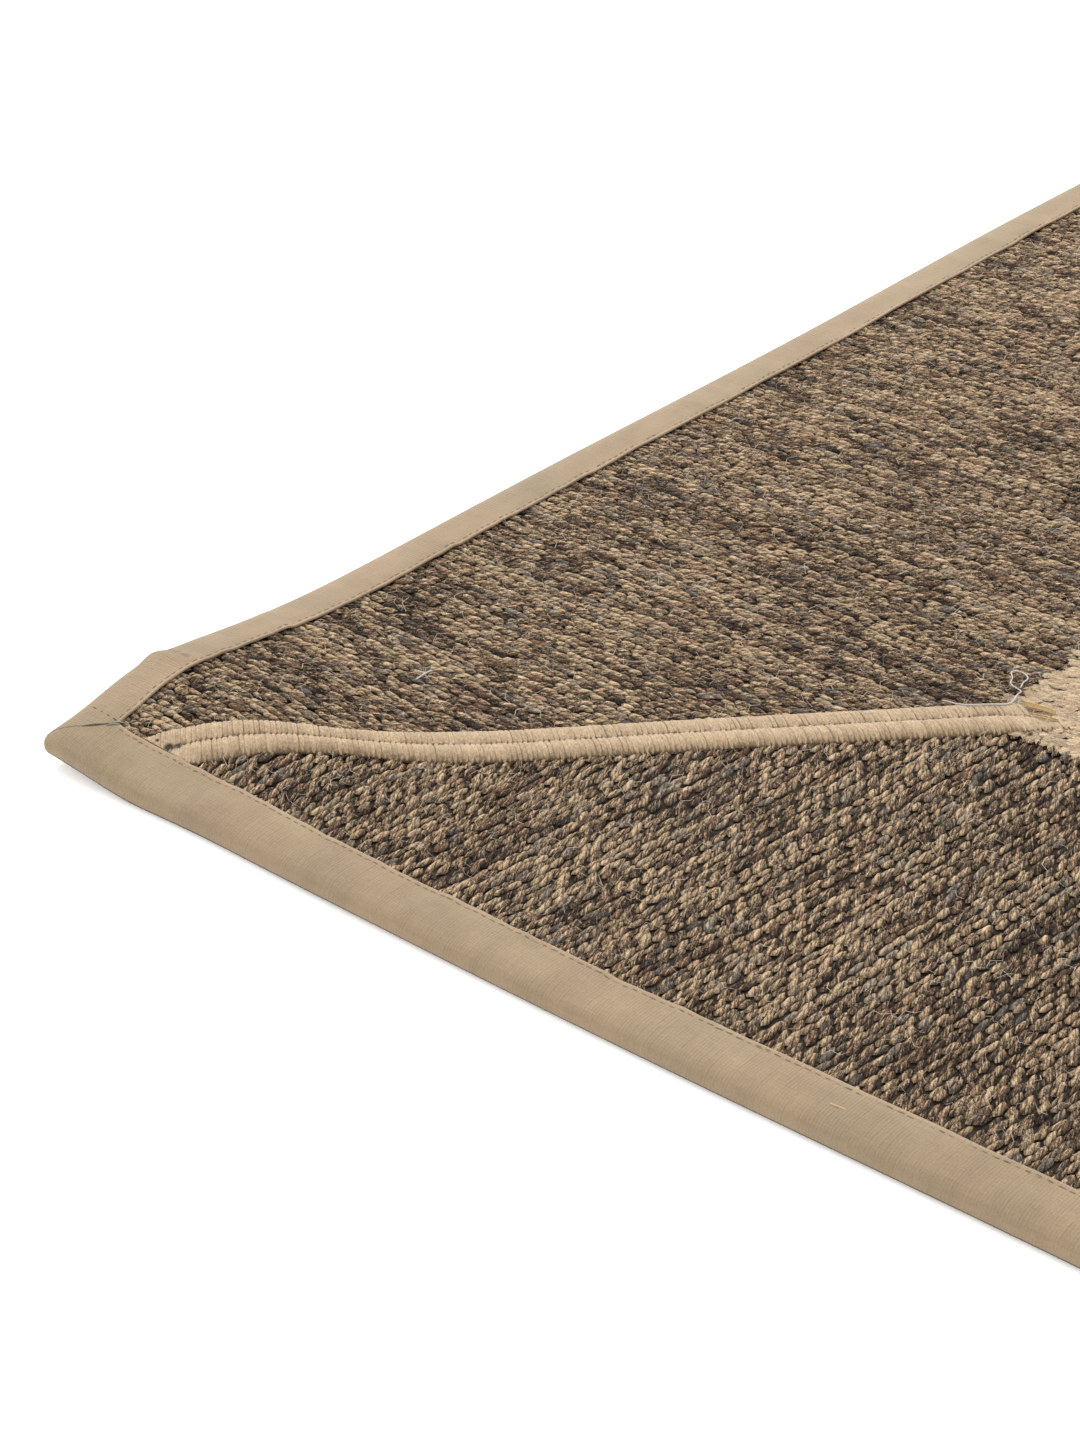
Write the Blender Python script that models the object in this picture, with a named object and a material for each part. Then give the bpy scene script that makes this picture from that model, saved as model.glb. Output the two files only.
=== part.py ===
"""Patchwork rug, 0.9 by 1.5 m: four mitred border panels around a centre field, the mitres covered by
raised double-row stitched bands, and a cotton tape folded over the rim on all four sides.

Metres, +Z up. The rug lies flat on z = 0 and is centred on the origin. "across" is a distance inwards
from an outer edge and "along" a distance on that edge, both measured on the flat rug before lie()
gives it the shape in which it lies.
"""

import math

import bmesh
import bpy
import numpy as np
from mathutils import Vector

# The finished rug, over the tape.
WIDTH = 0.900
LENGTH = 1.500
SIDE_BORDER = 0.270
END_BORDER = 0.243

# Heights through the rug. The weave is nipped from below where the tape passes under it.
WEAVE_T = 0.0079
TAPE_T = 0.0010
CLEAR = 0.0003
RIM_T = WEAVE_T + CLEAR + TAPE_T
NIP = TAPE_T + CLEAR

# The tape that is folded over the rim.
TAPE_LAP = 0.0224
RIM_ROUND = 0.0046
RIM_BOXINESS = 0.8
RIM_ANGLES = (90, 52, 18, -18, -52, -90)
RIM_CORNER_ROUND = 0.005
NIP_END = TAPE_LAP + CLEAR
NIP_RUN = 0.006
JOINT_GAP = 0.0004

# The stitched bands over the mitres.
BAND_WIDTH = 0.0195
BAND_EDGE_T = 0.0007
BAND_VALLEY_T = 0.0014
BAND_CREST_T = 0.0031
BAND_ROW_POINTS = (-1.0, -0.82, -0.5, -0.18, 0.0, 0.18, 0.5, 0.82, 1.0)
BAND_FULLNESS = 0.7
BAND_STEP = 0.009
BAND_PLAIN_STEP = 0.016
MITRE_OFFSET = SIDE_BORDER - END_BORDER

# Cells of the solids: stations inwards from an edge, which panels that meet at a mitre share. Those from
# the lifted corner's two edges, left and near, are finer, and so are its tapes' steps.
WEAVE_INSET = 0.0050
LAP_MIDDLE = 0.0135
RIM_STATIONS = (WEAVE_INSET, LAP_MIDDLE, NIP_END, NIP_END + NIP_RUN)
FINE_STATIONS = (0.038, 0.047, 0.057, 0.068, 0.080, 0.095, 0.113, 0.138, 0.170, 0.205)
PLAIN_STATIONS = (0.060, 0.100, 0.150, 0.200)
TAPE_STATIONS = (0.0, 0.002, 0.0045, 0.008, 0.014, 0.024)
FINE_STEP = 0.0114
FINE_RUN = 0.205
PLAIN_STEP = 0.052
CUT_SNAP = 0.000001

# How the rug lies. Its first corner, at -X -Y, is where a and b are zero: a runs along +X, b along +Y.
# Each lift row: height, a, b, reach along a, reach along b. Where they add up to less than nothing the
# rug is on the floor, and the soft landing rounds the place where it meets it.
CORNER_LIFTS = (
    (0.0166, 0.0305, 0.0128, 0.0909, 0.0927),
    (-0.0150, 0.0557, 0.0075, 0.0686, 0.0420),
)
SOFT_LANDING = 0.0008
CORNER_DRAWN_IN = 0.0078
DRAWN_IN_ALONG = 0.074
DRAWN_IN_ACROSS = 0.071
# Each wander row of the first corner's band: sideways shift, distance from the corner, reach.
BAND_WANDERS = (
    (-0.0063, 0.082, 0.0374),
    (0.0056, 0.135, 0.0728),
)
WANDER_REACH = 0.060
# The first corner's band is drawn narrower here: narrowing, distance from the corner, reach.
BAND_WAIST = (0.0054, 0.115, 0.0288)
# Each wave row of the surface: height, wavelength along a, wavelength along b, phase.
SURFACE_WAVES = (
    (0.00050, 0.45, 0.62, 0.4),
    (0.00025, -0.30, 0.41, 2.1),
)
EDGE_WAVE = 0.0007
EDGE_WAVELENGTH = 0.375

BROWN = (0.212, 0.144, 0.093)
CREAM = (0.604, 0.462, 0.303)
KHAKI = (0.491, 0.371, 0.257)
WOOL_ROUGHNESS = 0.95
COTTON_ROUGHNESS = 0.85


def smooth(t):
    """Zero to one, with level ends."""
    t = min(max(t, 0.0), 1.0)
    return t * t * (3 - 2 * t)


def hill(distance, reach):
    """One at the middle, falling away to nothing over about twice the reach."""
    return math.exp(-((distance / reach) ** 2))


def rounded_corner(a, b):
    """Draws a point near one of the four corners inwards, so that the rug's corners are round."""
    u = min(a, WIDTH - a)
    v = min(b, LENGTH - b)
    x = 1 - u / RIM_CORNER_ROUND
    y = 1 - v / RIM_CORNER_ROUND
    if x <= 0 or y <= 0:
        return a, b
    u = RIM_CORNER_ROUND * (1 - x * math.sqrt(1 - y * y / 2))
    v = RIM_CORNER_ROUND * (1 - y * math.sqrt(1 - x * x / 2))
    return (u if a < WIDTH / 2 else WIDTH - u), (v if b < LENGTH / 2 else LENGTH - v)


def lie(a, b, z):
    """Where a point of the flat rug comes to lie: round corners, a wandering band, one corner drawn in
    and lifted off the floor, and low waves that leave the underside flat."""
    a, b = rounded_corner(a, b)
    from_corner = (a + b) / math.sqrt(2)
    beside_band = (a - b - MITRE_OFFSET) / math.sqrt(2)
    wander = sum(shift * hill(from_corner - at, reach) for shift, at, reach in BAND_WANDERS)
    wander *= hill(beside_band, WANDER_REACH) / math.sqrt(2)
    drawn_in = CORNER_DRAWN_IN * (1 - smooth(b / DRAWN_IN_ALONG)) * (1 - smooth(a / DRAWN_IN_ACROSS))
    raised = sum(
        height * hill(a - at_a, reach_a) * hill(b - at_b, reach_b)
        for height, at_a, at_b, reach_a, reach_b in CORNER_LIFTS
    )
    raised = max(raised, 0.0)
    lift = raised * raised / (raised + SOFT_LANDING)
    wave = sum(
        height * math.sin(2 * math.pi * (a / along_a + b / along_b) + phase)
        for height, along_a, along_b, phase in SURFACE_WAVES
    )
    x = a + drawn_in + wander + EDGE_WAVE * math.sin(2 * math.pi * b / EDGE_WAVELENGTH)
    y = b - wander + EDGE_WAVE * math.sin(2 * math.pi * a / EDGE_WAVELENGTH)
    return x - WIDTH / 2, y - LENGTH / 2, z + wave * min(z / WEAVE_T, 1.0) + lift


def weave_underside(a, b):
    """How high the woven cloth's underside is: raised by the tape beneath its rim, on the floor beyond."""
    from_rim = min(a, b, WIDTH - a, LENGTH - b)
    return NIP * (1 - min(max((from_rim - NIP_END) / NIP_RUN, 0.0), 1.0))


def steps(start, end, step):
    """Even stations from start to end, no further apart than step."""
    count = max(1, math.ceil((end - start) / step))
    return list(np.linspace(start, end, count + 1))


def edge_stations(length, start, end):
    """Stations along an edge: those at its start, plain ones between, and those at its end, mirrored."""
    mirrored = [length - distance for distance in reversed(end)]
    return [*start, *steps(start[-1], mirrored[0], PLAIN_STEP)[1:-1], *mirrored]


def inwards_from(edge):
    """A panel's stations inwards from one of the rug's edges."""
    return [*RIM_STATIONS, *(FINE_STATIONS if edge in ("left", "near") else PLAIN_STATIONS)]


def material(name, colour, roughness):
    made = bpy.data.materials.new(name)
    made.use_nodes = True
    shader = made.node_tree.nodes["Principled BSDF"]
    shader.inputs["Base Color"].default_value = (*colour, 1.0)
    shader.inputs["Roughness"].default_value = roughness
    shader.inputs["Metallic"].default_value = 0.0
    made.diffuse_color = (*colour, 1.0)
    return made


def cell_layer(cells_along, cells_across):
    """A closed layer of cells, one thick, whose corners stand at whole numbers: the station along, the
    station across, and 0 or 1 for the two broad faces."""
    mesh = bmesh.new()
    bmesh.ops.create_grid(mesh, x_segments=cells_along, y_segments=cells_across, size=0.5)
    lifted = bmesh.ops.extrude_face_region(mesh, geom=mesh.faces[:], use_keep_orig=True)
    upper = {part for part in lifted["geom"] if isinstance(part, bmesh.types.BMVert)}
    for vertex in mesh.verts:
        i = round((vertex.co.x + 0.5) * cells_along)
        j = round((vertex.co.y + 0.5) * cells_across)
        vertex.co = (i, j, int(vertex in upper))
    bmesh.ops.recalc_face_normals(mesh, faces=mesh.faces)
    return mesh


def laid(name, mesh, finish):
    """Gives a mesh on the flat rug the shape in which it lies, and makes it an object at its own middle."""
    for vertex in mesh.verts:
        vertex.co = lie(*vertex.co)
    bmesh.ops.recalc_face_normals(mesh, faces=mesh.faces)
    low = np.min([vertex.co for vertex in mesh.verts], axis=0)
    high = np.max([vertex.co for vertex in mesh.verts], axis=0)
    middle = Vector(((low[0] + high[0]) / 2, (low[1] + high[1]) / 2, 0.0))
    bmesh.ops.translate(mesh, verts=mesh.verts, vec=-middle)
    data = bpy.data.meshes.new(name)
    mesh.to_mesh(data)
    mesh.free()
    data.materials.append(finish)
    made = bpy.data.objects.new(name, data)
    made.location = middle
    return made


def woven(name, at_a, at_b, wool, cuts=()):
    """A piece of woven cloth over the given stations, cut straight through at each cut: a point of the cut
    and the direction of the offcut."""
    mesh = cell_layer(len(at_a) - 1, len(at_b) - 1)
    for vertex in mesh.verts:
        i, j, face = (round(value) for value in vertex.co)
        vertex.co = (at_a[i], at_b[j], face)
    for point, offcut in cuts:
        everything = mesh.verts[:] + mesh.edges[:] + mesh.faces[:]
        bmesh.ops.bisect_plane(
            mesh, geom=everything, dist=CUT_SNAP, plane_co=point, plane_no=offcut, clear_outer=True
        )
        level = [edge for edge in mesh.edges if edge.is_boundary and edge.verts[0].co.z == edge.verts[1].co.z]
        bmesh.ops.bridge_loops(mesh, edges=level)
    for vertex in mesh.verts:
        a, b, face = vertex.co
        vertex.co.z = WEAVE_T if face > 0.5 else weave_underside(a, b)
    return laid(name, mesh, wool)


def panel(side, wool):
    """A border panel, cut at 45 degrees at both ends towards the centre field's corners."""
    upright = side in ("left", "right")
    length = LENGTH if upright else WIDTH
    border = SIDE_BORDER if upright else END_BORDER
    ends = ("near", "far") if upright else ("left", "right")
    along = edge_stations(length, inwards_from(ends[0]), inwards_from(ends[1]))
    across = [*inwards_from(side), border - JOINT_GAP / 2]
    turned = side in ("right", "far")
    if turned:
        across = [(WIDTH if upright else LENGTH) - at for at in reversed(across)]
    outwards = -1 if upright else 1
    cuts = []
    for far_end in (False, True):
        # The cut runs through the centre field's corner, half a joint gap on this panel's side of it.
        corner_a = WIDTH - SIDE_BORDER if (turned if upright else far_end) else SIDE_BORDER
        corner_b = LENGTH - END_BORDER if (far_end if upright else turned) else END_BORDER
        offcut_a = (1 if corner_a < WIDTH / 2 else -1) * -outwards
        offcut_b = (1 if corner_b < LENGTH / 2 else -1) * outwards
        offcut = Vector((offcut_a, offcut_b, 0)).normalized()
        cuts.append((Vector((corner_a, corner_b, 0)) - offcut * JOINT_GAP / 2, offcut))
    at_a, at_b = (across, along) if upright else (along, across)
    return woven(f"border_panel_{side}", at_a, at_b, wool, cuts)


def field(wool):
    """The plain rectangular centre."""
    edge_a = SIDE_BORDER + JOINT_GAP / 2
    edge_b = END_BORDER + JOINT_GAP / 2
    at_a = steps(edge_a, WIDTH - edge_a, PLAIN_STEP)
    at_b = steps(edge_b, LENGTH - edge_b, PLAIN_STEP)
    return woven("centre_field", at_a, at_b, wool)


def tape_section(inset):
    """The folded tape's section, from its top inner edge round the rim to its under edge: distances inwards
    and heights. The inset is how far inside the tape's outer face the points lie."""
    half = RIM_T / 2
    points = [(TAPE_LAP, RIM_T - inset), (LAP_MIDDLE, RIM_T - inset)]
    for angle in np.radians(RIM_ANGLES):
        out = abs(math.cos(angle)) ** RIM_BOXINESS
        up = math.copysign(abs(math.sin(angle)) ** RIM_BOXINESS, angle)
        points.append((inset + (RIM_ROUND - inset) * (1 - out), half + (half - inset) * up))
    return [*points, (LAP_MIDDLE, inset), (TAPE_LAP, inset)]


def tape(side, cotton):
    """A tape folded over one edge, mitred with its neighbours at the rug's corners."""
    upright = side in ("left", "right")
    length = LENGTH if upright else WIDTH
    start = list(TAPE_STATIONS)
    if side in ("left", "near"):
        start += steps(start[-1], FINE_RUN, FINE_STEP)[1:]
    shares = np.array(edge_stations(length, start, TAPE_STATIONS)) / length
    sections = (tape_section(TAPE_T), tape_section(0.0))
    mesh = cell_layer(len(shares) - 1, len(sections[0]) - 1)
    for vertex in mesh.verts:
        i, j, face = (round(value) for value in vertex.co)
        across, z = sections[face][j]
        mitre = across + JOINT_GAP / 2
        along = mitre + shares[i] * (length - 2 * mitre)
        if side in ("right", "far"):
            across = (WIDTH if upright else LENGTH) - across
        vertex.co = (across, along, z) if upright else (along, across, z)
    return laid(f"tape_{side}", mesh, cotton)


def band(end, side, wool):
    """The raised stitched band over one mitre, from the end tape to the centre field's corner: two rounded
    rows with a valley between."""
    first = (end, side) == ("near", "left")
    root = math.sqrt(2)
    start = root * (TAPE_LAP + 2 * CLEAR) + MITRE_OFFSET / root
    finish = (SIDE_BORDER + END_BORDER) / root + BAND_WIDTH / 2
    stations = steps(start, finish, BAND_STEP if first else BAND_PLAIN_STEP)
    mesh = cell_layer(len(stations) - 1, len(BAND_ROW_POINTS) - 1)
    narrowing, waist_at, waist_reach = BAND_WAIST
    for vertex in mesh.verts:
        i, j, face = (round(value) for value in vertex.co)
        row = BAND_ROW_POINTS[j]
        waist = narrowing * hill(stations[i] - waist_at, waist_reach) if first else 0.0
        beside = row * (BAND_WIDTH - waist) / 2
        share = (stations[i] - start) / (finish - start)
        # The outer end is cut level with the end tape, so each line across starts that much later.
        distance = stations[i] + beside * (1 - share)
        a = (distance + beside + MITRE_OFFSET / root) / root
        b = (distance - beside - MITRE_OFFSET / root) / root
        slope = BAND_EDGE_T + (BAND_VALLEY_T - BAND_EDGE_T) * (1 - abs(row))
        swell = abs(math.sin(math.pi * row)) ** BAND_FULLNESS
        rise = slope + (BAND_CREST_T - slope) * swell
        a = WIDTH - a if side == "right" else a
        b = LENGTH - b if end == "far" else b
        vertex.co = (a, b, WEAVE_T + CLEAR + face * rise)
    return laid(f"mitre_band_{end}_{side}", mesh, wool)


def build():
    """The rug's thirteen pieces, in their collection."""
    brown = material("marled_brown_wool", BROWN, WOOL_ROUGHNESS)
    cream = material("cream_wool", CREAM, WOOL_ROUGHNESS)
    stitching = material("cream_stitching", CREAM, WOOL_ROUGHNESS)
    cotton = material("khaki_cotton", KHAKI, COTTON_ROUGHNESS)
    pieces = [panel(side, brown) for side in ("left", "right", "near", "far")]
    pieces.append(field(cream))
    pieces += [tape(side, cotton) for side in ("left", "right", "near", "far")]
    pieces += [band(end, side, stitching) for end in ("near", "far") for side in ("left", "right")]
    rug = bpy.data.collections.new("patchwork_rug")
    bpy.context.scene.collection.children.link(rug)
    for piece in pieces:
        rug.objects.link(piece)


for old in list(bpy.data.objects):
    bpy.data.objects.remove(old, do_unlink=True)
build()
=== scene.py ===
"""Dresses the patchwork rug: woven grains on the panels and the field, a folded and topstitched cotton
tape, stitched bands over the mitres, loose fibres, and the floor, light and camera.

Metres, +Z up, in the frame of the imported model. On the flat rug a runs from the left edge along +X and b
from the near edge along +Y. A side's own flat coordinates are across, inwards from its outer edge, and
along, beside that edge. lie() gives flat points the shape in which the rug lies.
"""

import math
from collections import namedtuple

import bmesh
import bpy
import numpy as np
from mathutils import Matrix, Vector


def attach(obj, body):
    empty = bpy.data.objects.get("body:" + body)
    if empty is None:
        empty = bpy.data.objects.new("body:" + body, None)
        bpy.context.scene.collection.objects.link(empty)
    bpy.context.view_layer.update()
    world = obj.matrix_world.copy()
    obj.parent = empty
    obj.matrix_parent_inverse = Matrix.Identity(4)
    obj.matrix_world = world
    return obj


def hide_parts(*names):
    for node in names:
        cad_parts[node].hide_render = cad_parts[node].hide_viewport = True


bl_info = {
    "name": "Patchwork Rug",
    "version": (1, 0, 0),
    "blender": (4, 5, 0),
    "location": "View3D > Sidebar > Rug",
    "description": "Weaves, binds and stitches a patchwork rug over its plain solids",
    "category": "Object",
}

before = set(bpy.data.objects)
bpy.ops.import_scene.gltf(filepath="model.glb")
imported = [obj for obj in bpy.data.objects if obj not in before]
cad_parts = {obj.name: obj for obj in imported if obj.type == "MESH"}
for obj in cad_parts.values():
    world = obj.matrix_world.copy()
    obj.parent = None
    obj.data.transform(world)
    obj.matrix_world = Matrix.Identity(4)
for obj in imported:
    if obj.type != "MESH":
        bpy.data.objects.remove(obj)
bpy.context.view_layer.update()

BODY = "root"
SIDES = ("left", "right", "near", "far")
BANDS = (("near", "left"), ("near", "right"), ("far", "left"), ("far", "right"))
ROOT2 = math.sqrt(2)
TURN = 2 * math.pi

# The finished rug, its thicknesses and the room left between its pieces.
WIDTH = 0.900
LENGTH = 1.500
SIDE_BORDER = 0.270
END_BORDER = 0.243
MITRE_OFFSET = SIDE_BORDER - END_BORDER
WEAVE_T = 0.0079
TAPE_T = 0.0010
CLEAR = 0.0003
JOINT_GAP = 0.0004
RIM_T = WEAVE_T + CLEAR + TAPE_T

# How the rug lies, as the solids do. Each lift row: height, a, b, reach along a, reach along b.
CORNER_LIFTS = (
    (0.0166, 0.0305, 0.0128, 0.0909, 0.0927),
    (-0.0150, 0.0557, 0.0075, 0.0686, 0.0420),
)
SOFT_LANDING = 0.0008
RIM_CORNER_ROUND = 0.005
CORNER_DRAWN_IN = 0.0078
DRAWN_IN_ALONG = 0.074
DRAWN_IN_ACROSS = 0.071
# Each wander row: sideways shift, distance from the corner, reach.
BAND_WANDERS = (
    (-0.0063, 0.082, 0.0374),
    (0.0056, 0.135, 0.0728),
)
WANDER_REACH = 0.060
# Each wave row: height, wavelength along a, wavelength along b, phase.
SURFACE_WAVES = (
    (0.00050, 0.45, 0.62, 0.4),
    (0.00025, -0.30, 0.41, 2.1),
)
EDGE_WAVE = 0.0007
EDGE_WAVELENGTH = 0.375

# The ground cloths. Their rims are drawn in, and the tape beneath raises them.
CLOTH_CELL = 0.020
GROUND_DROP = 0.0017
WEAVE_INSET = 0.0050
NIP = TAPE_T + CLEAR
NIP_RUN = 0.006
# The room beside a mitre, along the edge.
MITRE_ROOM = JOINT_GAP * 0.71

# The grains, as shares of the pitch, the row and the grain's own length and height, and the light that
# reaches their tips. Rows that run askew need some margin past the edges.
GRAIN_LONG = 1.26
GRAIN_WIDE = 1.10
GRAIN_SHOULDER = 0.25
GRAIN_CROWN = 0.11
GRAIN_TIP = 0.36
TIP_LIGHT = 0.50
SKEW_MARGIN = 0.030
# How far single grains stray across, along and in height, how far rows drift and sway, the shift of every
# second row as a share of the pitch, and how far grains tip over, lean and turn, in radians.
GRAIN_STRAYS = (0.0007, 0.00042)
GRAIN_HEIGHTS = (-0.00035, 0.00025)
ROW_DRIFT = 0.011
ROW_SWAY = 0.0075
BRICK_SHIFT = 0.45
GRAIN_TIPS = 0.16
GRAIN_LEANS = 0.09
GRAIN_TURNS = 0.20
# How far a panel's grains start under the tape, across and along, and run on over the field's seam.
UNDER_TAPE = (0.004, 0.002)
SEAM_RUN_ON = 0.0028
MITRE_RELIEF = 0.0015
# How far the field's grains stop short of its seams, across and along.
FIELD_SHORT = (0.0012, 0.0005)
# A cloth's weave: how far its rows run askew, how far a grain turns out of its row in radians, how far rows
# stray from brick order, its grains' pitch, height, length and width as shares of the panels', the strength
# of its streaks, how high its grains are set, and whether they are plump.
Weave = namedtuple("Weave", "skew slant straying pitch high long wide streak raised plump")
SIDE_WEAVE = Weave(-0.04, 0.10, 0.50, 0.95, 0.60, 1.0, 1.0, 1.0, 0.0, True)
END_WEAVE = Weave(-0.12, 0.05, 0.60, 1.03, 0.58, 1.0, 1.0, 1.0, 0.0, True)
FIELD_WEAVE = Weave(0.0, 0.20, 0.30, 1.0, 0.24, 1.12, 1.55, 0.5, 0.0002, False)
WEAVES = {"left": SIDE_WEAVE, "right": SIDE_WEAVE, "near": END_WEAVE, "far": END_WEAVE, "field": FIELD_WEAVE}

# The tape: its section, its sewing line and the folded corner, where the near tape laps over the left one.
TAPE_LAP = 0.0224
RIM_BOXINESS = 0.8
RIM_FALL = 0.0125
RIM_NOSE = 0.0028
TOP_STATIONS = (TAPE_LAP, TAPE_LAP - 0.0007, TAPE_LAP - 0.0016, TAPE_LAP - 0.0026, 0.0165, 0.0145)
RIM_ANGLES = (85, 74, 62, 50, 38, 25, 12, 0, -25, -50, -72, -90)
UNDER_STATIONS = (0.0115, TAPE_LAP)
# The two rows of the section that are painted dark as the rim's shade, and how far from a cut end
# distances are told apart.
SHADED_ROWS = (14, 15)
CUT_SHADE = 0.004
# The sewing line's distance from the tape's inner edge, its groove, and how far from the corners it ends.
SEAM_FROM_LAP = 0.0018
SEAM_SINK = 0.00024
SEAM_HALF = 0.0009
SEAM_END = 0.002
# A sewing stitch: its length as a share of the pitch, its width, its height and how high it is laid.
SEWING_LONG = 0.62
SEWING_WIDE = 0.00048
SEWING_HIGH = 0.00024
SEWING_LIFT = 0.0001
# The folded corner: how far the near tape laps over, how much it rises and thins there, and over what run.
FOLD_OVERLAP = 0.0034
FOLD_RISE = 0.00030
FOLD_THINNING = 0.0004
FOLD_RUN = 0.007
# The share of the rim's height from which it counts as the tape's top, and the run of that change.
TOP_FROM = 0.35
TOP_RUN = 0.3
# Each pucker row: height, wavelength along, wavelength across, phase. They swell and fade along the tape in
# two wavelengths, and start a little in from the edge.
PUCKERS = (
    (0.00026, 0.0171, 0.060, 0.3),
    (0.00020, 0.0113, -0.045, 1.9),
    (0.00034, 0.0470, 0.090, 4.0),
    (0.00040, 0.1130, -0.200, 2.2),
)
PUCKER_SWELLS = (0.171, 0.067)
PUCKER_START = 0.001
PUCKER_RUN = 0.006
# The left tape's crosswise crease: its place, its slant, the height and reach of its ridge and its groove,
# how far it runs in from the edge, and where the tape's columns are close enough to show it.
CREASE_AT = 0.0695
CREASE_SLANT = 0.03
CREASE_RIDGE = (0.0020, 0.0054)
CREASE_GROOVE = (0.0006, 0.0013)
RIDGE_FROM_GROOVE = 0.0056
CREASE_LENGTH = 0.010
CREASE_COLUMNS = (CREASE_AT - 0.024, CREASE_AT + 0.003, 0.0009)

# The bands. Their stitches lean along the band, more at the field than at the outer end.
BAND_WIDTH = 0.0195
BAND_EDGE_T = 0.0007
BAND_VALLEY_T = 0.0014
BAND_CREST_T = 0.0031
BAND_FULLNESS = 0.7
BAND_LEAN = (0.02, 0.34)
BAND_START = ROOT2 * (TAPE_LAP + 2 * CLEAR) + MITRE_OFFSET / ROOT2
BAND_FINISH = (SIDE_BORDER + END_BORDER) / ROOT2 + BAND_WIDTH / 2
BAND_RISE_RUN = 0.007
BAND_SINK_EARLY = 0.006
BAND_SINK_RUN = 0.020
BAND_LOW_END = 0.28
# How far the two rows of stitches, outer and inner, run on over the field's corner.
BAND_RUN_ON = {-1: 0.008, 1: 0.017}
# The near left band's waist: narrowing, distance from the corner, reach.
BAND_WAIST = (0.0054, 0.115, 0.0288)
# Holes in the near left band's stitching, painted as dark spots of shade on the stitches: a, b and reach.
BAND_HOLES = (
    (0.0508, 0.0243, 0.0022),
    (0.0540, 0.0266, 0.0016),
    (0.0440, 0.0246, 0.0010),
    (0.0650, 0.0380, 0.0007),
    (0.0930, 0.0680, 0.0007),
)
# The padded core: how far it lies under the stitches, its depth below the weave, and its size beside them.
CORE_DROP = 0.0006
CORE_DEPTH = 0.0016
CORE_SHARE = 0.97
CORE_RUN_ON = 0.007
# A laid stitch: its thickness, its width as a share of the pitch, its half length as a share of half the
# band's width, how deep it lies in the band, and how steeply its ends go down outside the band.
STITCH_T = 0.00055
STITCH_WIDE = 1.16
STITCH_REACH = 0.55
STITCH_BED = 0.0005
STITCH_DIP = 0.010
VALLEY_HALF = 0.02

# Threads that lie on the rug, as rows of (a, b, height over the floor) in millimetres.
LOOSE_THREAD = (
    (250.4, 244.2, 9.0), (253.3, 244.7, 9.2), (257.2, 243.6, 10.2), (262.0, 242.8, 11.8),
    (266.9, 247.7, 11.8), (271.2, 251.3, 11.6), (274.0, 255.4, 10.9), (272.2, 261.8, 9.6),
    (270.7, 266.1, 9.2), (270.9, 269.3, 9.0), (268.2, 270.0, 9.0), (263.7, 271.3, 9.0),
    (262.8, 275.6, 9.1), (259.4, 278.9, 9.1), (260.3, 281.1, 9.1), (264.0, 281.7, 9.2),
    (268.0, 278.9, 9.2), (267.5, 275.4, 9.3), (269.5, 270.1, 9.6),
)
LINT = ((84.2, 125.0, 8.9), (84.2, 128.0, 9.1), (83.9, 131.8, 9.1), (84.1, 135.1, 8.9))
FUZZ = ((64.4, 432.9, 8.8), (65.9, 433.7, 9.2), (67.6, 433.4, 9.0), (66.2, 434.9, 9.0))
SLUB = ((362.0, 10.4, 9.1), (364.9, 10.6, 9.3), (368.4, 10.9, 9.1))
TUFT = (
    ((18.4, 19.4, 9.6), (20.4, 20.6, 10.0), (23.2, 23.4, 9.6)),
    ((19.6, 18.8, 9.6), (21.6, 20.9, 10.1), (24.4, 22.6, 9.4)),
    ((20.2, 21.6, 9.6), (22.2, 22.6, 10.0), (25.0, 24.4, 9.2)),
)
GOLDEN_STITCHES = tuple(
    (
        (274.5 + 1.36 * k, 262.6 - 1.13 * k, 9.4),
        (281.5 + 1.29 * k, 262.9 - 0.99 * k, 10.0),
        (288.5 + 0.90 * k, 264.8 - 0.97 * k, 9.1),
    )
    for k in (0, 0.8, 1.5, 2.1, 5.2, 6.3)
)
FOLD_STITCHES = tuple(
    ((a, 23.6, 9.0), (a + 1.1, 23.6, 9.5), (a + 2.2, 23.6, 9.15)) for a in (7.0, 10.8, 14.6, 18.4)
)

# A loose fibre's curl: its length, sway, rise and half thickness.
CURL = (0.0062, 0.0010, 0.0030, 0.00007)

# The finishes that aren't settings. HAIRS is how many fibres a metre of cloth shows side by side.
HAIRS = 1300.0
REDDISH = (0.30, 0.155, 0.090, 1.0)
GREYISH = (0.250, 0.226, 0.196, 1.0)
SELVEDGE = (0.33, 0.235, 0.155, 1.0)
RIB_PITCH = 0.0012
GREY_THREAD = (0.44, 0.42, 0.40, 1.0)
DULL_THREAD = (0.27, 0.25, 0.22, 1.0)
PALE_SLUB = (0.42, 0.31, 0.20, 1.0)

# The stage.
WHITE = (1.0, 1.0, 1.0, 1.0)
FLOOR_SIZE = 12.0
FLOOR_DROP = 0.0004
FLOOR_GREY = 0.92
FLOOR_GLOW = 0.25
DOME_STRENGTH = 1.35
KEY_PLACE = (-1.6, 0.75, 2.2)
KEY_AIM = (-0.25, -0.45, 0.0)
KEY_SIZE = 0.9
KEY_POWER = 60.0
CAMERA_PLACE = (0.34971, -1.40812, 0.62)
CAMERA_HEADING = (-0.63955, 0.76875)
CAMERA_PITCH = math.radians(30.67)
CAMERA_LENS = 78.94


# ---- the rug's lie ----


def smooth(t):
    """Zero to one, with level ends."""
    t = np.clip(t, 0.0, 1.0)
    return t * t * (3 - 2 * t)


def hill(distance, reach):
    """One at the middle, falling away to nothing over about twice the reach."""
    return np.exp(-((distance / reach) ** 2))


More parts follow.
